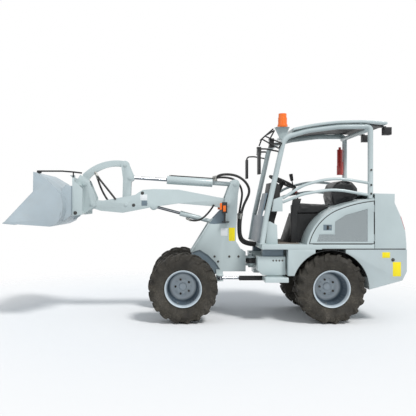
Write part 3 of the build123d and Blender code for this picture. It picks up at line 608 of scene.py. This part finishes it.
# %% [markdown]
# ## Small hard pieces
# Plates, lamps, pedals and levers are boxes and bars with softened edges. Two helpers make
# them: one adds a cube at its size and place and bevels it in edit mode, the other does the
# same with a cone along a line. Pieces that need more shape get it after that, and pieces
# that belong together are joined.


# %% Boxes and bars
def placed(piece, name, look, body, angle=32):
    """Finishes a piece, paints it and puts it on a body."""
    finished(piece, name, angle)
    piece.data.materials.clear()
    piece.data.materials.append(looks[look])
    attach(piece, body)
    return piece


def soft_box(name, low, high, look, body, width=0.004, steps=3):
    """A box between two corners whose edges are rounded."""
    clear()
    centre = [(a + b) / 2 for a, b in zip(low, high)]
    bpy.ops.mesh.primitive_cube_add(size=1, location=centre)
    piece = bpy.context.active_object
    piece.scale = [b - a for a, b in zip(low, high)]
    bpy.ops.object.transform_apply(location=True, rotation=True, scale=True)
    edit(piece)
    bpy.ops.mesh.bevel(offset=width, segments=steps)
    clear()
    return placed(piece, name, look, body)


def soft_bar(name, start, end, radius, look, body, width=0.002, sides=28, top=None):
    """A round bar from start to end, tapered to the radius top, with rounded rims."""
    clear()
    run = Vector(end) - Vector(start)
    middle = (Vector(start) + Vector(end)) / 2
    turn = run.to_track_quat("Z", "Y").to_euler()
    bpy.ops.mesh.primitive_cone_add(
        vertices=sides, radius1=radius, radius2=top or radius, depth=run.length, location=middle,
        rotation=turn,
    )
    piece = bpy.context.active_object
    along = run.normalized()
    bpy.ops.object.transform_apply(location=True, rotation=True, scale=True)
    edit(piece, "FACE", lambda centre, normal: abs(normal.dot(along)) > 0.9)
    bpy.ops.mesh.bevel(offset=width, segments=2)
    clear()
    return placed(piece, name, look, body)


def joined(pieces, name):
    """Joins pieces of one body into one."""
    clear()
    for piece in pieces:
        piece.select_set(True)
    bpy.context.view_layer.objects.active = pieces[0]
    bpy.ops.object.join()
    pieces[0].name = name
    return pieces[0]


print("boxes and bars ready")

# %% [markdown]
# ## Bare plates
# A few small coloured plates sit on the near side of the tower, boom and counterweight. A
# colour in the paint would do from afar, but a plate that stands a millimetre proud also
# shows its edge. Each is a thin box with rounded corners, sunk a little into its seat.

# %% Plates
tower_face = 0.135
boom_face = 0.090
body_side = 0.560
plate_proud = 0.0012
plate_sunk = 0.001
plate_round = 0.0009
plates = [
    # name, look, x and z of two corners, y of the face it sits on, body
    ("plate_tower_white", "white_plate", (0.204, 0.961), (0.286, 1.050), -tower_face, "front_frame"),
    ("plate_tower_yellow", "yellow_plate", (0.300, 0.900), (0.372, 1.058), -tower_face, "front_frame"),
    ("plate_weight_upper", "yellow_plate", (1.974, 0.737), (2.060, 0.799), -body_side, "rear_frame"),
    ("plate_weight_lower", "yellow_plate", (2.092, 0.530), (2.182, 0.690), -body_side, "rear_frame"),
    ("plate_boom_white", "white_plate", (-0.755, 1.384), (-0.672, 1.452), -boom_face, "boom"),
    ("plate_boom_grey", "frame_paint", (-0.741, 1.318), (-0.672, 1.380), -boom_face, "boom"),
]
for name, look, (x0, z0), (x1, z1), face, body in plates:
    low = (x0, face - plate_proud, z0)
    high = (x1, face + plate_sunk, z1)
    soft_box(name, low, high, look, body, plate_round, 2)
print(len(plates), "plates")

# %% [markdown]
# ## The mesh panels of the side doors
# The doors breathe through a panel of punched sheet. Thousands of real holes would cost far
# more than they show, so the panel is a thin plate and its finish draws the holes: the place
# on the plate is folded into small squares, and what is close to a square's centre is dark.

# %% Punched sheet
hole_pitch = 0.009
hole_edge = (0.075, 0.11)
hole_colour = srgb(40, 42, 44)
sheet_colour = srgb(172, 180, 181)
punched = bpy.data.materials.new("punched_sheet")
punched.use_nodes = True
tree = punched.node_tree
shader = tree.nodes["Principled BSDF"]
where = tree.nodes.new("ShaderNodeTexCoord")
axes = tree.nodes.new("ShaderNodeSeparateXYZ")
tree.links.new(where.outputs["Object"], axes.inputs[0])
squares = []
for axis in ("X", "Z"):
    folded = times(tree, times(tree, axes.outputs[axis], 1 / hole_pitch), 1.0, "FLOORED_MODULO")
    squares.append(times(tree, times(tree, folded, 0.5, "SUBTRACT"), 2.0, "POWER"))
from_centre = times(tree, squares[0], squares[1], "ADD")
solid = remap(tree, from_centre, *hole_edge)
tree.links.new(mixed(tree, solid, hole_colour, sheet_colour), shader.inputs["Base Color"])
shader.inputs["Roughness"].default_value = 0.5
looks["punched_sheet"] = punched
print("punched sheet, a hole every", hole_pitch * 1000, "mm")

# %% [markdown]
# ## Panels and latches
# The panel's outline follows the curve of the door and leaves a corner for the latch. It is
# a flat face drawn through seven points and pushed out by the sheet's thickness, which is
# quicker than cutting it from a larger plate. The latch is a dish with a grip and a lock.

# %% Panels and latches
panel_y = 0.5557
panel_thick = 0.001
dish_y = 0.5556
grip_y = 0.558
lock_y = (0.555, 0.561)
outline = [
    (1.246, 0.918), (1.274, 0.995), (1.446, 0.995), (1.452, 1.141),
    (1.569, 1.213), (1.811, 1.281), (1.811, 0.918),
]
sides = ((-1, "left"), (1, "right"))
for side, tag in sides:
    body = "side_door_" + tag
    clear()
    bpy.ops.mesh.primitive_circle_add(vertices=len(outline), radius=1, fill_type="NGON")
    panel = bpy.context.active_object
    for point, (x, z) in zip(panel.data.vertices, outline):
        point.co = (x, side * panel_y, z)
    edit(panel)
    bpy.ops.mesh.extrude_region_move(TRANSFORM_OT_translate={"value": (0, side * panel_thick, 0)})
    bpy.ops.mesh.select_all(action="SELECT")
    bpy.ops.mesh.normals_make_consistent(inside=False)
    clear()
    placed(panel, "mesh_panel_" + tag, "punched_sheet", body, 20)
    name = "latch_" + tag
    y = side * dish_y
    dish_low, dish_high = (1.318, y - 0.0006, 1.043), (1.411, y + 0.0006, 1.105)
    dish = soft_box(name + "_dish", dish_low, dish_high, "frame_paint", body, 0.0005, 1)
    y = side * grip_y
    grip_low, grip_high = (1.355, y - 0.003, 1.052), (1.378, y + 0.003, 1.098)
    grip = soft_box(name + "_grip", grip_low, grip_high, "black_plastic", body, 0.0015, 2)
    lock_ends = [(1.394, side * y, 1.076) for y in lock_y]
    knob = soft_bar(name + "_lock", *lock_ends, 0.009, "bolt_zinc", body, 0.001, 20)
    joined([dish, grip, knob], name)
print("mesh panels and latches")

# %% [markdown]
# ## Hydraulic hoses
# Oil reaches the cylinders through thick black hoses. Each hangs in a loose curve from one
# fitting to the next, so it is a smooth curve through a few chosen points with a round
# section. The hose itself is baked in place and put on no body.


# %% Hoses
nut_share = 1.3
ferrule_share = 0.86


def hose(name, points, radius):
    """A round hose along chosen points, baked in place and put on no body."""
    line = bpy.data.curves.new(name, "CURVE")
    line.dimensions = "3D"
    spline = line.splines.new("NURBS")
    spline.points.add(len(points) - 1)
    for knot, place in zip(spline.points, points):
        knot.co = (*place, 1)
    spline.use_endpoint_u = True
    spline.order_u = 4
    spline.resolution_u = 10
    line.bevel_depth = radius
    line.bevel_resolution = 4
    line.use_fill_caps = True
    piece = bpy.data.objects.new(name, line)
    bpy.context.scene.collection.objects.link(piece)
    only(piece)
    bpy.ops.object.convert(target="MESH")
    piece = bpy.context.active_object
    finished(piece, name, 60)
    piece.data.materials.clear()
    piece.data.materials.append(looks["hose_rubber"])
    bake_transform(piece)


def swivel(name, end, toward, body, radius):
    """The hexagon nut and the round ferrule that a hose starts with."""
    way = (Vector(toward) - Vector(end)).normalized()
    end = Vector(end)
    nut_ends = (end - way * 0.004, end + way * 0.022)
    ferrule_ends = (end + way * 0.018, end + way * 0.062)
    nut = soft_bar(name + "_nut", *nut_ends, radius, "bolt_zinc", body, 0.0015, 6)
    ferrule = soft_bar(
        name + "_ferrule", *ferrule_ends, radius * ferrule_share, "bolt_zinc", body, 0.002, 24
    )
    joined([nut, ferrule], name)


print("hose helpers ready")

# %% [markdown]
# ## The seven hoses
# Two hoses feed the tilt cylinder over the top of the tower, two cross the pivot between the
# halves, one feeds the lift cylinder, and two reach the coupler. Their points are given one by
# one along each run, because a formula for a sagging line knows nothing of clips and pins.

# %% The seven hoses
near = -0.062
hoses = [
    # name, radius, body it starts on, body it ends on, points as x, y, z
    (
        "hose_tilt_rear", 0.015, "tilt_barrel", "front_frame",
        [(0.150, near, 1.618), (0.150, near, 1.672), (0.230, -0.07, 1.700), (0.391, -0.10, 1.690),
         (0.506, -0.11, 1.610), (0.560, -0.11, 1.500), (0.520, -0.10, 1.400), (0.466, -0.09, 1.300),
         (0.452, -0.085, 1.200)],
    ),
    (
        "hose_tilt_front", 0.013, "tilt_barrel", "front_frame",
        [(0.120, 0.05, 1.618), (0.130, 0.05, 1.660), (0.240, 0.05, 1.668), (0.380, 0.06, 1.655),
         (0.470, 0.07, 1.560), (0.490, 0.07, 1.440), (0.456, 0.05, 1.320), (0.440, 0.04, 1.200)],
    ),
    (
        "hose_pivot_upper", 0.017, "front_frame", "rear_frame",
        [(0.452, -0.085, 1.220), (0.440, -0.085, 1.120), (0.436, -0.085, 1.010),
         (0.452, -0.080, 0.930), (0.500, -0.075, 0.888), (0.575, -0.070, 0.872),
         (0.660, -0.070, 0.866)],
    ),
    (
        "hose_pivot_middle", 0.016, "front_frame", "rear_frame",
        [(0.440, 0.04, 1.220), (0.430, 0.02, 1.120), (0.428, 0.00, 1.000), (0.440, -0.02, 0.910),
         (0.490, -0.03, 0.860), (0.575, -0.03, 0.843), (0.660, -0.03, 0.838)],
    ),
    (
        "hose_lift", 0.011, "lift_barrel", "front_frame",
        [(-0.200, -0.020, 1.165), (-0.130, -0.060, 1.130), (-0.040, -0.105, 1.145),
         (0.030, -0.105, 1.200), (0.090, -0.105, 1.270), (0.125, -0.105, 1.330)],
    ),
    (
        "hose_coupler_upper", 0.012, "coupler", "boom",
        [(-1.300, -0.050, 1.720), (-1.250, -0.072, 1.640), (-1.180, -0.088, 1.560),
         (-1.110, -0.092, 1.470), (-1.050, -0.090, 1.395)],
    ),
    (
        "hose_coupler_lower", 0.012, "coupler", "boom",
        [(-1.300, 0.064, 1.700), (-1.275, 0.066, 1.610), (-1.240, 0.066, 1.520),
         (-1.200, 0.064, 1.440), (-1.160, 0.060, 1.385)],
    ),
]
for name, radius, body, other, points in hoses:
    hose(name, points, radius)
    swivel(name + "_fitting", points[0], points[1], body, radius * nut_share)
print(len(hoses), "hoses")

# %% [markdown]
# ## Rims
# Shade falls deep inside a rim, so painted shade darkens its paint towards the disc. The finish
# knows how far a spot lies from the nearer axle and from the machine's middle, and mixes a
# dark painted shade in on the wall of the barrel. Nuts and a hub cap are separate small pieces.

# %% Painted shade in the barrel
front_axle_x = -0.250
rear_axle_x = 1.400
axle_z = 0.393
barrel_wall = (0.130, 0.160)
barrel_depth = (0.592, 0.560)
# painted shade: this dark blue-grey stands for the shade on the deep wall of the rim's barrel
barrel_shade_colour = srgb(74, 88, 100)


def add_barrel_shade(material):
    """Paints shade onto the deep wall of each rim in a finished material."""
    tree = material.node_tree
    shader = tree.nodes["Principled BSDF"]
    ground = shader.inputs["Base Color"].links[0].from_socket
    where = tree.nodes.new("ShaderNodeTexCoord")
    axes = tree.nodes.new("ShaderNodeSeparateXYZ")
    tree.links.new(where.outputs["Object"], axes.inputs[0])
    front = times(tree, times(tree, axes.outputs["X"], -front_axle_x, "ADD"), 2.0, "POWER")
    rear = times(tree, times(tree, axes.outputs["X"], rear_axle_x, "SUBTRACT"), 2.0, "POWER")
    flat = times(tree, front, rear, "MINIMUM")
    height = times(tree, times(tree, axes.outputs["Z"], axle_z, "SUBTRACT"), 2.0, "POWER")
    radius = times(tree, times(tree, flat, height, "ADD"), 0.5, "POWER")
    outward = remap(tree, radius, *barrel_wall)
    depth = remap(tree, times(tree, axes.outputs["Y"], 1.0, "ABSOLUTE"), *barrel_depth)
    # the painted shade is mixed in where the barrel wall lies deep and far from the axle
    shaded_wall = mixed(tree, times(tree, outward, depth), ground, barrel_shade_colour)
    tree.links.new(shaded_wall, shader.inputs["Base Color"])


# puts painted shade into the rim barrels
add_barrel_shade(looks["rim_paint"])
print("rim paint grows dark from", barrel_wall[0], "m outwards")

# %% [markdown]
# ## Hubs, nuts and valves
# Each rim is held by five nuts round a low hub cap, and its valve stands on the slope of the
# disc. A nut is a bar with six sides. The four sets are made by one loop, because all rims
# are the same, and each set is joined and rides on its own wheel, so that it turns with it.

# %% Hubs, nuts and valves
wheel_y = 0.465
disc_depth = 0.084
stud_circle = 0.084
stud_count = 5
valve_circle = 0.168
valve_angle = math.radians(250)
wheels = [
    # name, axle x, side
    ("front_left", front_axle_x, -1),
    ("front_right", front_axle_x, 1),
    ("rear_left", rear_axle_x, -1),
    ("rear_right", rear_axle_x, 1),
]
for name, x, side in wheels:
    body = bodies["rim_" + name]
    disc_y = side * (wheel_y - disc_depth)
    cap_ends = ((x, disc_y, axle_z), (x, disc_y + side * 0.016, axle_z))
    parts = [soft_bar("hub_cap_" + name, *cap_ends, 0.046, "rim_paint", body, 0.004, 40, 0.040)]
    for step in range(stud_count):
        angle = math.radians(36 + 360 / stud_count * step)
        stud_x = x + stud_circle * math.cos(angle)
        stud_z = axle_z + stud_circle * math.sin(angle)
        nut_ends = ((stud_x, disc_y, stud_z), (stud_x, disc_y + side * 0.018, stud_z))
        parts.append(soft_bar("nut", *nut_ends, 0.013, "axle_iron", body, 0.002, 6))
    joined(parts, "hub_" + name)
    stem_x = x + valve_circle * math.cos(valve_angle)
    stem_z = axle_z + valve_circle * math.sin(valve_angle)
    stem_ends = ((stem_x, side * 0.545, stem_z), (stem_x, side * 0.585, stem_z))
    soft_bar("valve_" + name, *stem_ends, 0.005, "bolt_zinc", body, 0.001, 16)
print("hubs and valves")

# %% [markdown]
# ## Dark sheet under the roof
# Under the roof's skin hangs a thin dark sheet. It follows the curve of the roof, so it
# is a grid whose points are laid on that curve and then given a thickness.

# %% Dark sheet
arc = [(0.985, 2.190), (1.480, 2.270), (2.039, 2.258)]
underside_start = 1.010
underside_length = 1.015
underside_width = 0.92
underside_drop = 0.034
underside_thick = 0.006


def arc_height(x):
    """The roof's upper arc as a parabola through its three points."""
    total = 0.0
    for i, (xi, zi) in enumerate(arc):
        term = zi
        for j, (xj, _) in enumerate(arc):
            if i != j:
                term *= (x - xj) / (xi - xj)
        total += term
    return total


clear()
bpy.ops.mesh.primitive_grid_add(x_subdivisions=28, y_subdivisions=2, size=1, location=(0, 0, 0))
underside = bpy.context.active_object
for point in underside.data.vertices:
    x = underside_start + (point.co.x + 0.5) * underside_length
    point.co = (x, point.co.y * underside_width, arc_height(x) - underside_drop)
thick = underside.modifiers.new("thick", "SOLIDIFY")
thick.thickness = underside_thick
thick.offset = -1
apply_all(underside)
placed(underside, "roof_underside", "black_plastic", "rear_frame", 40)
middle = underside_start + underside_length / 2
print("underside", len(underside.data.polygons), "faces, roof over its middle", round(arc_height(middle), 3))

# %% [markdown]
# ## Rubber seals
# A black rubber strip runs round each side door, and another closes the seam between the
# bodywork and the chassis. The door's strip follows the door's own outline: the outline is
# taken from the back of the door, turned into a curve and given a round section.

# %% Seals
seal_radius = 0.0055
seal_y = 0.5580
seal_flatten = 0.7
hinge_zone_x = 1.87
sill_seal_y = (0.553, 0.5618)
sill_seal_x = (1.300, 2.236)
sill_seal_z = (0.8295, 0.8400)
for side, tag in sides:
    node = "side_door_" + tag
    only(dressed[node])
    bpy.ops.object.duplicate()
    strip = bpy.context.active_object
    for key in list(strip.keys()):
        del strip[key]
    inner = min(abs(point.co.y) for point in strip.data.vertices if point.co.x < hinge_zone_x)

    def on_back(centre, normal):
        """Whether a face lies on the back of the door."""
        return normal.y * side < -0.9 and abs(abs(centre.y) - inner) < 0.002

    edit(strip, "FACE", on_back)
    bpy.ops.mesh.region_to_loop()
    bpy.ops.mesh.duplicate()
    known = set(bpy.data.objects)
    bpy.ops.mesh.separate(type="SELECTED")
    clear()
    loop = (set(bpy.data.objects) - known).pop()
    bpy.data.objects.remove(strip)
    only(loop)
    bpy.ops.object.modifier_add(type="WELD")
    apply_all(loop)
    bpy.ops.object.convert(target="CURVE")
    loop = bpy.context.active_object
    loop.data.bevel_depth = seal_radius
    loop.data.bevel_resolution = 2
    bpy.ops.object.convert(target="MESH")
    loop = bpy.context.active_object
    for point in loop.data.vertices:
        point.co.y = side * seal_y + (point.co.y - side * inner) * seal_flatten
    placed(loop, "seal_" + node, "hose_rubber", bodies[node], 50)
for side, tag in sides:
    near_y, far_y = sorted(side * y for y in sill_seal_y)
    low = (sill_seal_x[0], near_y, sill_seal_z[0])
    high = (sill_seal_x[1], far_y, sill_seal_z[1])
    soft_box("seal_sill_" + tag, low, high, "hose_rubber", "rear_frame", 0.002, 2)
print("seals round 2 doors and along 2 sills")

# %% [markdown]
# ## Lamps, guard and mirrors
# The worklights get a pale glass face, and the near one at the front sits in a guard of
# bent rod. The mirrors get their glass, which faces the driver. The guard is made of straight
# bars from corner to corner, because its real rods are straight between sharp bends.

# %% Lamps and guard
mirror_y = (0.507, 0.613)
lamps = [
    # name, x at the back and at the front of the glass, y, z, radius
    ("lamp_rear_", 2.128, 2.134, 0.380, 2.1725, 0.037),
    ("lamp_front_", 0.722, 0.716, 0.490, 2.025, 0.040),
]
for side, tag in sides:
    for name, back_x, face_x, y, z, radius in lamps:
        ends = ((back_x, side * y, z), (face_x, side * y, z))
        soft_bar(name + tag, *ends, radius, "lamp_glass", "rear_frame", 0.002, 36)
    near_y, far_y = sorted(side * y for y in mirror_y)
    low, high = (0.609, near_y, 1.680), (0.6115, far_y, 1.905)
    soft_box("mirror_glass_" + tag, low, high, "mirror_glass", "rear_frame", 0.001, 2)
guard_y = -0.552
post_y = (-0.560, -0.428)
guard = [
    (0.756, 2.176), (0.629, 2.065), (0.600, 1.985), (0.629, 2.065), (0.820, 1.960),
    (0.851, 2.018), (0.663, 2.098), (0.772, 2.161), (0.717, 2.059),
]
rods = []
for (x0, z0), (x1, z1) in zip(guard, guard[1:]):
    ends = ((x0, guard_y, z0), (x1, guard_y, z1))
    rods.append(soft_bar("rod", *ends, 0.008, "black_plastic", "rear_frame", 0.001, 16))
for x, z in ((0.756, 2.176), (0.629, 2.065), (0.851, 2.018)):
    ends = [(x, y, z) for y in post_y]
    rods.append(soft_bar("rod", *ends, 0.006, "black_plastic", "rear_frame", 0.001, 12))
joined(rods, "lamp_guard")
print("lamps, guard of", len(rods), "rods, mirror glass")

# %% [markdown]
# ## Bolts
# A hexagon bolt on a washer is two short bars, one with six sides and one with twenty. A
# loop makes them at every place, which needs only a table of places, and joins each row.

# %% Bolts
def bolt_row(name, places, body, size):
    """Bolts whose heads face outwards: each place is x, y, z, and the sign of y gives the side."""
    heads = []
    for x, y, z in places:
        way = -1 if y < 0 else 1
        washer_ends = ((x, y - way * 0.001, z), (x, y + way * 0.003, z))
        head_ends = ((x, y + way * 0.002, z), (x, y + way * 0.010, z))
        heads.append(soft_bar("washer", *washer_ends, size * 1.5, "axle_iron", body, 0.0006, 20))
        heads.append(soft_bar("head", *head_ends, size, "axle_iron", body, 0.0012, 6))
    joined(heads, name)


box_side = 0.600
post_face = 0.5355
tower = [(0.130, 0.715), (0.306, 0.715), (0.415, 0.715), (0.172, 0.655)]
arm = [(-0.835, 1.325), (-0.730, 1.470)]
fittings = [(0.750 + 0.034 * step, 0.710) for step in range(4)]
post_slots = [(1.860, 1.552), (1.860, 1.455), (1.860, 1.720)]
bolt_rows = [
    # name, x and z of the bolts, y of the face, sides, body, size
    ("tower_bolts", tower, tower_face, (-1, 1), "front_frame", 0.009),
    ("boom_bolts", arm, boom_face, (-1, 1), "boom", 0.013),
    ("box_fittings", fittings, box_side, (-1,), "rear_frame", 0.007),
    ("post_slots", post_slots, post_face, (-1,), "rear_frame", 0.008),
    ("weight_lock", [(2.094, 0.715)], body_side, (-1,), "rear_frame", 0.013),
]
for name, spots, face, facing, body, size in bolt_rows:
    bolt_row(name, [(x, side * face, z) for x, z in spots for side in facing], body, size)
print("bolts on")

# %% [markdown]
# ## Controls
# What the driver touches: a joystick with a rubber boot, a red-topped lever and a pedal. A
# boot is a cone with pressed rings, so it is divided and every second ring is drawn in. The
# pedal's pad starts level and is then sheared to its slope, point by point.

# %% Joystick, lever and pedal
boot_height = 0.090
boot_rings = 6
boot_pinch = 0.82
clear()
bpy.ops.mesh.primitive_cone_add(
    vertices=32, radius1=0.040, radius2=0.016, depth=boot_height, location=(1.160, 0.300, 1.500)
)
boot = bpy.context.active_object
edit(boot)
bpy.ops.mesh.subdivide(number_cuts=boot_rings - 1)
clear()
for point in boot.data.vertices:
    ring = round((point.co.z + boot_height / 2) / (boot_height / boot_rings))
    if ring % 2 and 0 < ring < boot_rings:
        point.co.x *= boot_pinch
        point.co.y *= boot_pinch
placed(boot, "joystick_boot", "hose_rubber", "rear_frame", 20)

control_bars = [
    # piece, name, ends, radius, look, rounding, sides, radius at the end
    (
        "joystick", "stick", ((1.160, 0.300, 1.530), (1.135, 0.300, 1.640)), 0.007, "axle_iron",
        0.001, 20, None,
    ),
    (
        "joystick", "grip", ((1.137, 0.300, 1.630), (1.122, 0.300, 1.720)), 0.019, "black_plastic",
        0.008, 28, 0.024,
    ),
    (
        "hand_lever", "lever_rod", ((1.190, 0.230, 1.380), (1.180, 0.230, 1.480)), 0.005,
        "bolt_zinc", 0.001, 16, None,
    ),
    (
        "hand_lever", "knob", ((1.181, 0.230, 1.470), (1.178, 0.230, 1.500)), 0.014, "red_paint",
        0.007, 24, None,
    ),
]
for control in ("joystick", "hand_lever"):
    bars = [
        soft_bar(name, *ends, radius, look, "rear_frame", width, count, top)
        for piece, name, ends, radius, look, width, count, top in control_bars
        if piece == control
    ]
    joined(bars, control)

pedal_middle_x = 0.750
pedal_slope = 0.5
pad_low, pad_high = (0.700, -0.345, 1.000), (0.800, -0.275, 1.012)
pad = soft_box("pad", pad_low, pad_high, "black_plastic", "rear_frame", 0.004, 3)
for point in pad.data.vertices:
    point.co.z -= (point.co.x - pedal_middle_x) * pedal_slope
leg_ends = ((0.752, -0.310, 1.004), (0.790, -0.310, 0.886))
leg = soft_bar("leg", *leg_ends, 0.009, "bolt_zinc", "rear_frame", 0.001, 20)
joined([pad, leg], "pedal_piece")
mat_low, mat_high = (0.700, -0.440, 0.8853), (1.080, 0.440, 0.890)
soft_box("floor_mat_piece", mat_low, mat_high, "floor_mat", "rear_frame", 0.002, 2)
print("controls and mat")

# %% [markdown]
# ## Bucket and coupler details
# The bucket's sides have a welded crease, and a latch rod lies over its upper edge. The
# tilt cylinder has a thin oil pipe along its top. All of these are slim bars: curves would
# bend more softly, but on the real pieces the bends are sharp.

# %% Latch and creases
crease_y = 0.6212
for side, tag in sides:
    ends = ((-1.749, side * crease_y, 1.575), (-2.120, side * crease_y, 1.150))
    soft_bar("crease_" + tag, *ends, 0.0035, "frame_paint", "coupler", 0.001, 12)
rail_y = -0.412
rail = [(-1.900, 1.690), (-1.900, 1.714), (-1.630, 1.714), (-1.500, 1.704), (-1.402, 1.692)]
rods = []
for (x0, z0), (x1, z1) in zip(rail, rail[1:]):
    ends = ((x0, rail_y, z0), (x1, rail_y, z1))
    rods.append(soft_bar("rod", *ends, 0.009, "black_plastic", "coupler", 0.002, 20))
ends = ((-1.500, rail_y, 1.704), (-1.500, rail_y, 1.585))
rods.append(soft_bar("rod", *ends, 0.008, "black_plastic", "coupler", 0.002, 20))
cap_low, cap_high = (-1.915, -0.430, 1.688), (-1.865, -0.395, 1.722)
rods.append(soft_box("rod_cap", cap_low, cap_high, "black_plastic", "coupler", 0.006, 3))
joined(rods, "coupler_latch")
coupler_side = 0.420
bolt_row("coupler_pins", [(-1.477, side * coupler_side, 1.236) for side in (-1, 1)], "coupler", 0.014)
pipe_ends = ((-0.400, 0, 1.6845), (0.120, 0, 1.650))
port_ends = ((-0.396, 0, 1.690), (-0.400, 0, 1.655))
pipe = soft_bar("pipe", *pipe_ends, 0.006, "black_plastic", "tilt_barrel", 0.001, 16)
port = soft_bar("port", *port_ends, 0.012, "bolt_zinc", "tilt_barrel", 0.002, 6)
joined([pipe, port], "tilt_pipe")
print("latch, creases and pipe")

# %% [markdown]
# ## Floor
# The floor is a plain pale plane that keeps the machine's shadow. Far from the machine it
# fades into the white background, so no horizon shows.

# %% Floor
floor_size = 60
fade_from, fade_to = 2.2, 5.0
clear()
bpy.ops.mesh.primitive_plane_add(size=floor_size, location=(0, 0, 0))
floor = finished(bpy.context.active_object, "floor_plane")
pale = bpy.data.materials.new("pale_floor")
pale.use_nodes = True
tree = pale.node_tree
shader = tree.nodes["Principled BSDF"]
shader.inputs["Base Color"].default_value = (0.92, 0.92, 0.92, 1)
shader.inputs["Roughness"].default_value = 0.9
shader.inputs["Specular IOR Level"].default_value = 0.1
where = tree.nodes.new("ShaderNodeTexCoord")
length = tree.nodes.new("ShaderNodeVectorMath")
length.operation = "LENGTH"
tree.links.new(where.outputs["Object"], length.inputs[0])
fade = remap(tree, length.outputs["Value"], fade_from, fade_to)
clear_air = tree.nodes.new("ShaderNodeBsdfTransparent")
both = tree.nodes.new("ShaderNodeMixShader")
tree.links.new(fade, both.inputs["Fac"])
tree.links.new(shader.outputs[0], both.inputs[1])
tree.links.new(clear_air.outputs[0], both.inputs[2])
out = tree.nodes["Material Output"]
tree.links.new(both.outputs[0], out.inputs["Surface"])
floor.data.materials.append(pale)
print("floor laid")

# %% [markdown]
# ## Colour management
# The view transform is Standard, so a colour renders about as it was written.

# %% Finish
bpy.context.scene.view_settings.view_transform = "Standard"
